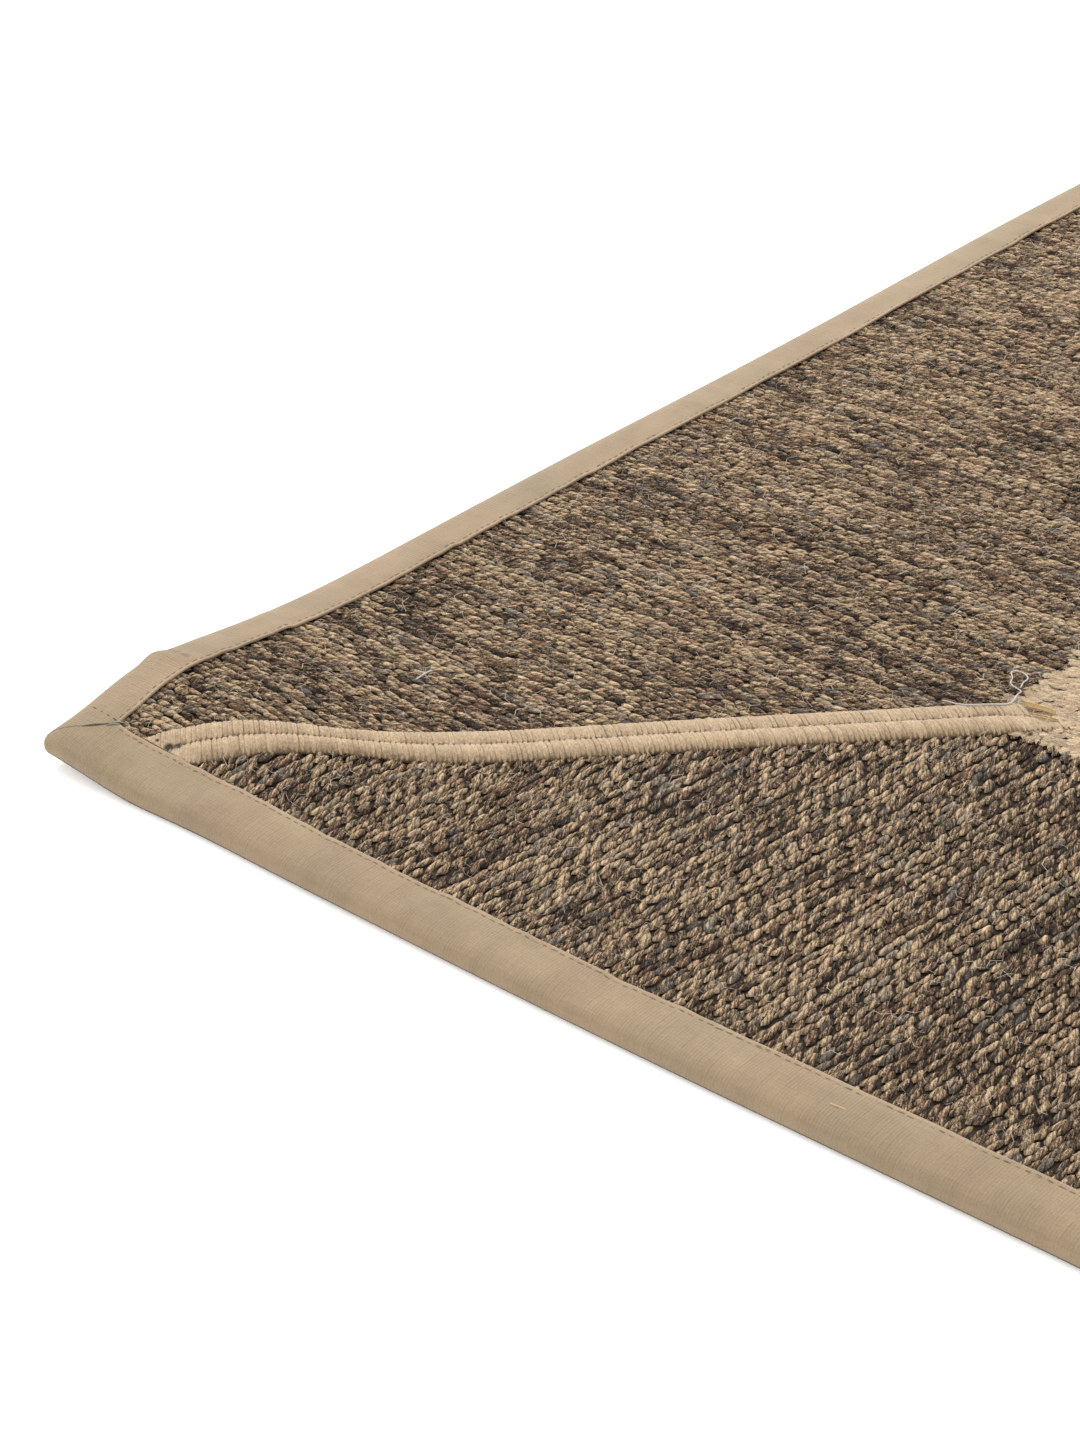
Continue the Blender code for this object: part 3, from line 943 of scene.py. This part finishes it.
def tape_section(inset):
    """The folded tape's section, from its top inner edge, down a long soft fall and round the rim to its
    under edge."""
    points = [(across, RIM_T - inset) for across in TOP_STATIONS]
    for angle in np.radians(RIM_ANGLES):
        reach, rise = (RIM_FALL, RIM_T - RIM_NOSE) if angle > 0 else (RIM_NOSE, RIM_NOSE)
        out = (reach - inset) * (1 - math.cos(angle) ** RIM_BOXINESS)
        up = math.copysign(abs(math.sin(angle)) ** RIM_BOXINESS, angle) * (rise - inset)
        points.append((inset + out, RIM_NOSE + up))
    points += [(across, inset) for across in UNDER_STATIONS]
    return np.array(points)


def rim_height(across):
    """How high the folded tape's top stands at a distance from the rug's edge."""
    level = np.clip(1 - across / RIM_FALL, 0.0, 1.0) ** (1 / RIM_BOXINESS)
    return RIM_NOSE + (RIM_T - RIM_NOSE) * (1 - level**2) ** (RIM_BOXINESS / 2)


def tape_relief(side, across, along):
    """How far the tape's top stands out or sinks in: puckers that run across it and die away on the rim,
    the sewing line's groove, and on the left tape one crosswise crease."""
    shift = {"left": 0.0, "right": 1.7, "near": 3.1, "far": 4.9}[side]
    rise = sum(
        height * np.sin(TURN * (along / long + across / cross) + phase + shift * (k + 1))
        for k, (height, long, cross, phase) in enumerate(PUCKERS)
    )
    first, second = PUCKER_SWELLS
    swell = 0.55 + 0.45 * np.sin(TURN * along / first + shift) * np.sin(TURN * along / second)
    rise = rise * swell * smooth((across - PUCKER_START) / PUCKER_RUN)
    rise = rise - SEAM_SINK * hill(across - (TAPE_LAP - SEAM_FROM_LAP), SEAM_HALF)
    if side == "left":
        crease = along - CREASE_AT - across * CREASE_SLANT
        ridge = CREASE_RIDGE[0] * hill(crease + RIDGE_FROM_GROOVE, CREASE_RIDGE[1])
        groove = CREASE_GROOVE[0] * hill(crease, CREASE_GROOVE[1])
        rise = rise + (ridge - groove) * (1 - smooth((across - CREASE_LENGTH) / CREASE_LENGTH))
    return rise


def tape_stations(side):
    """Where the tape's columns stand, as shares of its length: close at its cut ends, at the lifted corner
    and, on the left tape, at the crease."""
    length = edge_length(side)
    cut_end = np.array((0.0, 0.0012, 0.0026, 0.0042, 0.0062, 0.0088, 0.0120))
    close = np.append(cut_end, spaced(cut_end[-1], 0.30, 0.0042)[1:])
    wide = np.append(cut_end, spaced(cut_end[-1], 0.10, 0.010)[1:])
    first = close if side == "left" else wide
    if side == "left":
        first = np.unique(np.append(first, spaced(*CREASE_COLUMNS)))
    last = length - (close if side == "near" else wide)[::-1]
    return np.concatenate((first, spaced(first[-1], last[0], 0.016)[1:-1], last)) / length


def shade_distance(side, across, along, begin, end, under_rim):
    """How far a point of the tape is from what shades it: a cut end, the fold's underside or the crease."""
    distance = np.minimum(np.minimum(along - begin, end - along), CUT_SHADE)
    distance = np.where(under_rim, 0.0, distance)
    if side == "left":
        # The crease's painted shade is a faint dark line over the outer half of the tape.
        from_crease = np.abs(along - CREASE_AT - across * CREASE_SLANT)
        from_crease = from_crease + 0.004 * smooth((across - 0.017) / 0.004)
        distance = np.minimum(distance, 0.0005 + 0.5 * from_crease)
    return distance


def binding_mesh(side):
    """The tape folded over one edge, closed, with its thickness. The near tape's left end is folded over
    the left tape's."""
    length = edge_length(side)
    shares = tape_stations(side)
    outer, inner = tape_section(0.0), tape_section(TAPE_T)
    mesh, i, j, upper = cell_layer(len(shares) - 1, len(outer) - 1)
    across, z = np.where(upper[:, None], outer[j], inner[j]).T
    begin = across + JOINT_GAP / 2
    end = length - begin
    on_top = smooth((z - RIM_T * TOP_FROM) / (RIM_T * TOP_RUN))
    if side == "near":
        over = FOLD_OVERLAP * (1 - np.clip(across / TAPE_LAP, 0.0, 1.0))
        end = length - np.maximum(begin - over * on_top, -CLEAR)
    along = begin + shares[i] * (end - begin)
    relief = tape_relief(side, across, along) * on_top
    if side == "near":
        folded = 1 - smooth((end - along) / FOLD_RUN)
        relief = relief * (1 - folded) + FOLD_RISE * folded * on_top
        relief = relief + np.where(upper, 0.0, FOLD_THINNING) * folded * on_top
    z = z + relief
    if side in ("left", "near"):
        # Both ends fall away together at the corner where one is folded over the other.
        from_edge = np.clip(along if side == "left" else length - along, 0.0, None)
        share = (rim_height(from_edge) - RIM_NOSE) / (RIM_T - RIM_NOSE)
        level = np.clip(1 - from_edge / RIM_NOSE, 0.0, 1.0)
        z = RIM_NOSE + (z - RIM_NOSE) * np.where(z > RIM_NOSE, share, np.sqrt(1 - level**2))
    under_rim = upper & np.isin(j, SHADED_ROWS)
    shade = shade_distance(side, across, along, begin, end, under_rim)
    note(mesh, "thread", np.column_stack((along, across, shade)))
    set_points(mesh, lie(turned(side, across, along, z)))
    return outward(mesh)


def sewing_motif(long, wide, high):
    """One stitch of sewing thread lying on the cloth, its two ends drawn in."""
    points, fibre = [], []
    for x, size in ((-0.5, 0.0), (-0.36, 0.85), (0.0, 1.0), (0.36, 0.85), (0.5, 0.0)):
        for y, z in ((-0.5, 0.0), (0.0, 1.0), (0.5, 0.0)):
            points.append((x * long, y * wide * max(size, 0.35), (z * size - 0.15) * high))
            fibre.append((x * 2, y * 2, z * size))
    return motif("sewing_stitch", points, strips(5, 3), fibre)


def row_layout():
    """Small shapes in a straight row, evenly spaced and a little uneven."""
    labels = ("Start", "End", "Pitch", "Across", "Height", "Unevenness", "Size Spread", "Turn Spread")
    tree = Layout("Row Of Stitches", labels)
    given = tree.given
    seed = given["Seed"]
    length = given["End"] - given["Start"]
    count = (length / given["Pitch"]).math("ROUND") + 1
    start = tree.vector(given["Start"], given["Across"], given["Height"])
    values = {"Count": count, "Start Location": start, "Offset": tree.vector(length / (count - 1), 0.0)}
    line = tree.node("GeometryNodeMeshLine", {"mode": "OFFSET"}, values)
    turn, *uneven = (tree.even(1.0, seed + k) for k in (3, 0, 1, 4, 5, 6))
    shake = given["Unevenness"]
    moved = tree.shifted(line, "Offset", tree.vector(uneven[0] * shake, uneven[1] * shake))
    toned = tree.keep(moved, "tone", tree.random(0.0, 1.0, seed + 2))
    spread = given["Size Spread"]
    shares = (spread, spread * 0.35, spread)
    size = tree.vector(*(unequal * share + 1.0 for unequal, share in zip(uneven[2:], shares)))
    tree.lay(toned, tree.vector(0.0, 0.0, turn * given["Turn Spread"]), size)
    return tree


# ---- the bands ----


def band_waist(end, side, distance):
    """How much narrower than the others the near left band is."""
    narrowing, at, reach = BAND_WAIST
    return narrowing * hill(distance - at, reach) if (end, side) == ("near", "left") else 0.0


def band_profile(row):
    """The band's height over the weave, for a place from -1 to 1 across it."""
    row = np.clip(row, -1.0, 1.0)
    slope = BAND_EDGE_T + (BAND_VALLEY_T - BAND_EDGE_T) * (1 - np.abs(row))
    swell = np.abs(np.sin(math.pi * row)) ** BAND_FULLNESS
    return slope + (BAND_CREST_T - slope) * swell


def on_band(end, side, distance, row, height):
    """Points given by distance from the corner, place across the band and height above the weave, on the
    flat rug. The outer end stops low beside the tape, and the inner end sinks into the field."""
    beside = row * (BAND_WIDTH - band_waist(end, side, distance)) / 2
    a = (distance + beside + MITRE_OFFSET / ROOT2) / ROOT2
    b = (distance - beside - MITRE_OFFSET / ROOT2) / ROOT2
    level = BAND_LOW_END + (1 - BAND_LOW_END) * smooth((b - TAPE_LAP) / BAND_RISE_RUN)
    sunk = smooth((distance - BAND_FINISH + BAND_SINK_EARLY) / BAND_SINK_RUN)
    level = level * (1 - (1 - BAND_LOW_END) * sunk)
    height = np.where(height > 0, height * level, height)
    b = np.maximum(b, TAPE_LAP + CLEAR)
    a = WIDTH - a if side == "right" else a
    b = LENGTH - b if end == "far" else b
    return np.column_stack((a, b, WEAVE_T + CLEAR + height))


def padding_mesh(end, side):
    """The padded core under a band's stitches."""
    rows = np.array((-1.0, -0.9, -0.75, -0.5, -0.25, -0.1, 0.0, 0.1, 0.25, 0.5, 0.75, 0.9, 1.0))
    rows = rows * CORE_SHARE
    stations = spaced(BAND_START - BAND_WIDTH / 2, BAND_FINISH + CORE_RUN_ON, 0.0032)
    mesh, i, j, upper = cell_layer(len(stations) - 1, len(rows) - 1)
    height = np.where(upper, band_profile(rows[j]) - CORE_DROP, -CORE_DEPTH)
    set_points(mesh, lie(on_band(end, side, stations[i], rows[j], height)))
    return outward(mesh)


def yarn_motif(wide):
    """One stitch over one row of a band: x along the band, y from -1 to 1 across the row, z outwards."""
    points, fibre = [], []
    for y in np.linspace(-1.0, 1.0, 8):
        full = math.sqrt(max(0.0, 1 - abs(y) ** 5)) * 0.75 + 0.25
        for x, z in ((-0.5, 0.0), (-0.28, 0.85), (0.28, 1.0), (0.5, 0.0)):
            points.append((x * wide * full, y, z * full))
            fibre.append((y, x * 2, z * full))
    faces = [(a, d, c, b) for a, b, c, d in strips(8, 4)]
    return motif("band_stitch", points, faces, fibre)


def bend_over(mesh, end, side, which):
    """Bends a straight row of stitches over one row of a band. which is -1 or 1: the row's side."""
    distance, y, z = points_of(mesh).T
    row = which * (0.5 + y * STITCH_REACH)
    row = np.where(np.abs(row) < VALLEY_HALF, which * VALLEY_HALF, row)
    share = np.clip((distance - BAND_START) / (BAND_FINISH - BAND_START), 0.0, 1.0)
    distance = distance + (BAND_LEAN[0] + (BAND_LEAN[1] - BAND_LEAN[0]) * share) * row * BAND_WIDTH / 2
    core = band_profile(row) - STITCH_BED
    core = np.where(np.abs(row) > 1.0, core - (np.abs(row) - 1.0) * STITCH_DIP, core)
    set_points(mesh, lie(on_band(end, side, distance, row, core + STITCH_T * z)))


# ---- loose ends ----


def thread_mesh(name, paths, radius, sides=5):
    """Threads along flat paths, each a row of (a, b, height) points, with pointed ends."""
    points, faces = [], []
    for path in paths:
        keys = np.arange(len(path))
        steps = np.linspace(0, len(path) - 1, (len(path) - 1) * 4 + 1)
        fine = np.column_stack([np.interp(steps, keys, path[:, k]) for k in range(3)])
        for _ in range(3):
            fine[1:-1] = (fine[:-2] + 2 * fine[1:-1] + fine[2:]) / 4
        line = lie(fine)
        forward = np.gradient(line, axis=0)
        forward /= np.linalg.norm(forward, axis=1)[:, None]
        aside = np.cross(forward, (0.0, 0.0, 1.0))
        aside /= np.linalg.norm(aside, axis=1)[:, None]
        above = np.cross(aside, forward)
        first = len(points)
        for k, middle in enumerate(line):
            size = radius * (0.25 if k in (0, len(line) - 1) else 1.0)
            for angle in np.arange(sides) * TURN / sides:
                points.append(middle + size * (math.cos(angle) * aside[k] + math.sin(angle) * above[k]))
        for k in range(len(line) - 1):
            for m in range(sides):
                at, other = first + k * sides + m, first + k * sides + (m + 1) % sides
                faces.append((at, at + sides, other + sides, other))
        faces.append(tuple(first + m for m in range(sides)))
        faces.append(tuple(len(points) - 1 - m for m in range(sides)))
    mesh = bpy.data.meshes.new(name)
    mesh.from_pydata([tuple(p) for p in points], [], faces)
    return outward(mesh)


def curl_motif():
    """A thin curled ribbon, standing up from the cloth."""
    points = []
    length, sway, rise, thin = CURL
    for t in np.linspace(0.0, 1.0, 4):
        x = length * t
        y = sway * math.sin(2.2 * math.pi * t)
        z = rise * math.sin(math.pi * t * 0.8) + 0.0002
        half = thin * (1 - 0.6 * t)
        points += [(x, y - half, z), (x, y + half, z + half)]
    return motif("curl", points, strips(4, 2))


def fibre_layout():
    """Loose fibres scattered over a rectangle."""
    tree = Layout("Loose Fibres", ("Width", "Length", "Density"))
    given = tree.given
    seed = given["Seed"]
    values = {"Size X": given["Width"], "Size Y": given["Length"], "Vertices X": 2, "Vertices Y": 2}
    sheet = tree.node("GeometryNodeMeshGrid", None, values)
    values = {"Mesh": sheet, "Density": given["Density"], "Seed": seed}
    scattered = tree.node("GeometryNodeDistributePointsOnFaces", {"distribute_method": "RANDOM"}, values)
    turn = tree.random(0.0, TURN, seed + 1)
    size = tree.random(0.45, 1.5, seed + 2)
    height = tree.random(0.25, 1.25, seed + 3)
    tree.lay(scattered, tree.vector(0.0, 0.0, turn), tree.vector(size, size * 1.2, height))
    return tree


# ---- the steps ----


class RUG_OT_weave(bpy.types.Operator):
    """Lays the ground cloths of the panels and the field, and weaves their grains"""

    bl_idname = "rug.weave"
    bl_label = "Weave Cloths"

    def execute(self, context):
        given, _, _ = settings()
        yarns = (given.dark, given.middle, given.light, given.cream)
        dark, middle, light, cream = (np.array(yarn) for yarn in yarns)
        palette = (
            (0.05, tuple(dark)),
            (0.30, tuple(dark * 0.45 + middle * 0.55)),
            (0.48, tuple(middle)),
            (0.68, tuple(middle * 0.50 + light * 0.50)),
            (0.95, tuple(light)),
        )
        pale = ((0.1, tuple(cream * 0.62)), (0.45, tuple(cream * 0.90)), (0.9, tuple(cream * 1.12)))
        brown_yarn = wool("marled_brown_grains", palette, 1.05, 0.20)
        cream_yarn = wool("cream_grains", pale, 0.30, 0.72)
        brown_ground = ground_wool("marled_brown_ground", (*(middle * 0.55), 1.0))
        cream_ground = ground_wool("cream_ground", (*(cream * 0.9), 1.0))
        panel = (given.grain_pitch, given.row_pitch, "marled_brown_wool", brown_yarn, brown_ground)
        field = (given.field_pitch, given.field_row, "cream_wool", cream_yarn, cream_ground)
        tree = weave_layout()
        for number, (side, weave) in enumerate(WEAVES.items()):
            pitch, row, slot, yarn, ground = field if side == "field" else panel
            pitch = pitch * weave.pitch
            high = given.grain_height * weave.high
            long = pitch * GRAIN_LONG * weave.long
            grain = grain_motif(long, row * GRAIN_WIDE * weave.wide, high, weave.plump)
            start, end, near, far, cut_start = woven_area(side)
            values = {
                "Across Start": start, "Across End": end, "Along Start": near, "Along End": far,
                "Cut Start": cut_start, "Margin": SKEW_MARGIN, "Grain Pitch": pitch, "Row Pitch": row,
                "Skew": weave.skew, "Slant": weave.slant, "Straying": weave.straying,
                "Base Height": WEAVE_T - high + weave.raised, "Streak": weave.streak,
                "Seed": number * 20 + 3, "Shape": grain, "Yarn": yarn,
            }
            mesh = tree.run("grains_" + side, values)
            set_points(mesh, lie(turned(side, *points_of(mesh).T)))
            grains = piece("grains_" + side, mesh)
            forget(grain)
            cloth = piece("cloth_" + side, cloth_mesh(side), ground)
            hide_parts("centre_field" if side == "field" else "border_panel_" + side)
        return {"FINISHED"}


class RUG_OT_bind(bpy.types.Operator):
    """Folds the cotton tape over the four edges and sews it down"""

    bl_idname = "rug.bind"
    bl_label = "Bind Edges"

    def execute(self, context):
        _, trim, _ = settings()
        cloth = cotton("khaki_cotton_tape", (*trim.tape, 1.0))
        thread = plain("sewing_thread", (*trim.thread, 1.0))
        tree = row_layout()
        stitch = sewing_motif(trim.topstitch * SEWING_LONG, SEWING_WIDE, SEWING_HIGH)
        seam = TAPE_LAP - SEAM_FROM_LAP
        for number, side in enumerate(SIDES):
            length = edge_length(side)
            tape = piece("tape_cloth_" + side, binding_mesh(side), cloth)
            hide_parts("tape_" + side)
            values = {
                "Start": seam + SEAM_END, "End": length - seam - SEAM_END, "Pitch": trim.topstitch,
                "Across": seam, "Height": RIM_T - SEAM_SINK + SEWING_LIFT,
                "Unevenness": 0.00022, "Size Spread": 0.28, "Turn Spread": 0.12,
                "Seed": number * 9 + 2, "Shape": stitch, "Yarn": thread,
            }
            mesh = tree.run("topstitch_" + side, values)
            along, across, z = points_of(mesh).T
            z = z + tape_relief(side, across, along) + SEAM_SINK
            set_points(mesh, lie(turned(side, across, along, z)))
            mesh.flip_normals()
            sewing = piece("topstitch_" + side, mesh)
        forget(stitch)
        return {"FINISHED"}


class RUG_OT_bands(bpy.types.Operator):
    """Pads the four mitres and stitches over them in two raised rows"""

    bl_idname = "rug.bands"
    bl_label = "Stitch Bands"

    def execute(self, context):
        _, trim, _ = settings()
        yarn = np.array(trim.yarn)
        cream = stitching("band_yarn", (*yarn, 1.0), (*(yarn * (0.56, 0.46, 0.36)), 1.0))
        core = plain("band_core", (*(yarn * 0.60), 1.0))
        tree = row_layout()
        stitch = yarn_motif(trim.stitch_pitch * STITCH_WIDE)
        for number, (end, side) in enumerate(BANDS):
            place = end + "_" + side
            padding = piece("band_core_" + place, padding_mesh(end, side), core)
            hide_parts("mitre_band_" + place)
            for which, label in ((-1, "outer"), (1, "inner")):
                name = "stitches_" + place + "_" + label
                values = {
                    "Start": BAND_START + which * BAND_WIDTH / 4 - 0.006,
                    "End": BAND_FINISH + BAND_RUN_ON[which],
                    "Pitch": trim.stitch_pitch, "Unevenness": 0.00018, "Size Spread": 0.18,
                    "Seed": number * 31 + which * 7 + 40, "Shape": stitch, "Yarn": cream,
                }
                mesh = tree.run(name, values)
                bend_over(mesh, end, side, which)
                if (which < 0) != (side == "right") != (end == "far"):
                    mesh.flip_normals()
                piece(name, mesh)
        forget(stitch)
        return {"FINISHED"}


class RUG_OT_fibres(bpy.types.Operator):
    """Scatters loose fibres over the wool, and lays the odd threads"""

    bl_idname = "rug.fibres"
    bl_label = "Add Loose Fibres"

    def execute(self, context):
        _, trim, fibres = settings()
        curl = curl_motif()
        bound = 2 * TAPE_LAP + 0.012
        values = {
            "Width": WIDTH - bound, "Length": LENGTH - bound, "Density": fibres.density,
            "Seed": 5, "Shape": curl, "Yarn": plain("loose_wool", (*fibres.colour, 1.0), 0.8, 0.4),
        }
        mesh = fibre_layout().run("loose_fibres", values)
        set_points(mesh, lie(points_of(mesh) + (WIDTH / 2, LENGTH / 2, WEAVE_T - 0.0004)))
        piece("loose_fibres", mesh)
        forget(curl)
        grey = plain("grey_thread", GREY_THREAD)
        dull = plain("dull_grey_thread", DULL_THREAD)
        pale = plain("pale_slub", PALE_SLUB)
        golden = plain("golden_yarn", (*trim.golden, 1.0))
        sewing = plain("fold_stitches", (*trim.thread, 1.0))
        for name, paths, radius, slot, finish in (
            ("loose_thread", (LOOSE_THREAD,), 0.00030, "cream_stitching", grey),
            ("lint", (LINT,), 0.00034, "cream_stitching", grey),
            ("fuzz", (FUZZ,), 0.00030, "cream_stitching", grey),
            ("tuft", TUFT, 0.00022, "cream_stitching", dull),
            ("slub", (SLUB,), 0.00035, "khaki_cotton", pale),
            ("golden_stitches", GOLDEN_STITCHES, 0.00030, "cream_stitching", golden),
            ("fold_stitches", FOLD_STITCHES, 0.00024, "khaki_cotton", sewing),
        ):
            piece(name, thread_mesh(name, np.array(paths) / 1000, radius), finish)
        return {"FINISHED"}


class RUG_OT_stage(bpy.types.Operator):
    """Adds the floor, the light and the camera"""

    bl_idname = "rug.stage"
    bl_label = "Set Stage"

    def execute(self, context):
        scene = context.scene
        bpy.ops.mesh.primitive_plane_add(size=FLOOR_SIZE, location=(0.0, 0.0, -FLOOR_DROP))
        floor = context.active_object
        floor.name = "floor"
        paper = Finish("pale_floor", 0.9)
        grey = (FLOOR_GREY, FLOOR_GREY, FLOOR_GREY, 1.0)
        paper.fix({"Base Color": grey, "Specular IOR Level": 0.0})
        paper.fix({"Emission Color": WHITE, "Emission Strength": FLOOR_GLOW})
        floor.data.materials.append(paper.material)

        world = bpy.data.worlds.new("studio")
        world.use_nodes = True
        dome = world.node_tree.nodes["Background"]
        dome.inputs["Color"].default_value = WHITE
        dome.inputs["Strength"].default_value = DOME_STRENGTH
        scene.world = world

        lamp = bpy.data.lights.new("key_light", "AREA")
        lamp.size = KEY_SIZE
        lamp.energy = KEY_POWER
        holder = bpy.data.objects.new("key_light", lamp)
        holder.location = KEY_PLACE
        aim = Vector(KEY_AIM) - Vector(KEY_PLACE)
        holder.rotation_euler = aim.to_track_quat("-Z", "Y").to_euler()
        scene.collection.objects.link(holder)

        lens = bpy.data.cameras.new("camera")
        lens.lens = CAMERA_LENS
        lens.clip_start = 0.01
        lens.clip_end = 30.0
        camera = bpy.data.objects.new("camera", lens)
        camera.location = CAMERA_PLACE
        level = math.cos(CAMERA_PITCH)
        ahead = (CAMERA_HEADING[0] * level, CAMERA_HEADING[1] * level, -math.sin(CAMERA_PITCH))
        camera.rotation_euler = Vector(ahead).to_track_quat("-Z", "Y").to_euler()
        scene.collection.objects.link(camera)
        scene.camera = camera
        scene.view_settings.view_transform = "Standard"
        scene.view_settings.look = "None"
        return {"FINISHED"}


class RUG_PT_panel(bpy.types.Panel):
    """Lists the rug's steps and their settings"""

    bl_idname = "RUG_PT_panel"
    bl_label = "Patchwork Rug"
    bl_space_type = "VIEW_3D"
    bl_region_type = "UI"
    bl_category = "Rug"

    def draw(self, context):
        layout = self.layout
        for group in settings():
            box = layout.box()
            for name in group.__annotations__:
                box.prop(group, name)
        for step in STEPS:
            layout.operator(step.bl_idname)


STEPS = (RUG_OT_stage, RUG_OT_weave, RUG_OT_bind, RUG_OT_bands, RUG_OT_fibres)
GROUPS = {"rug_weave": RugWeave, "rug_trim": RugTrim, "rug_fibres": RugFibres}
CLASSES = (*GROUPS.values(), *STEPS, RUG_PT_panel)


def register():
    for made in CLASSES:
        bpy.utils.register_class(made)
    for name, group in GROUPS.items():
        setattr(bpy.types.Scene, name, bpy.props.PointerProperty(type=group))


def unregister():
    for name in GROUPS:
        delattr(bpy.types.Scene, name)
    for made in reversed(CLASSES):
        bpy.utils.unregister_class(made)


def main():
    register()
    bpy.ops.rug.stage()
    bpy.ops.rug.weave()
    bpy.ops.rug.bind()
    bpy.ops.rug.bands()
    bpy.ops.rug.fibres()


if __name__ == "__main__":
    main()
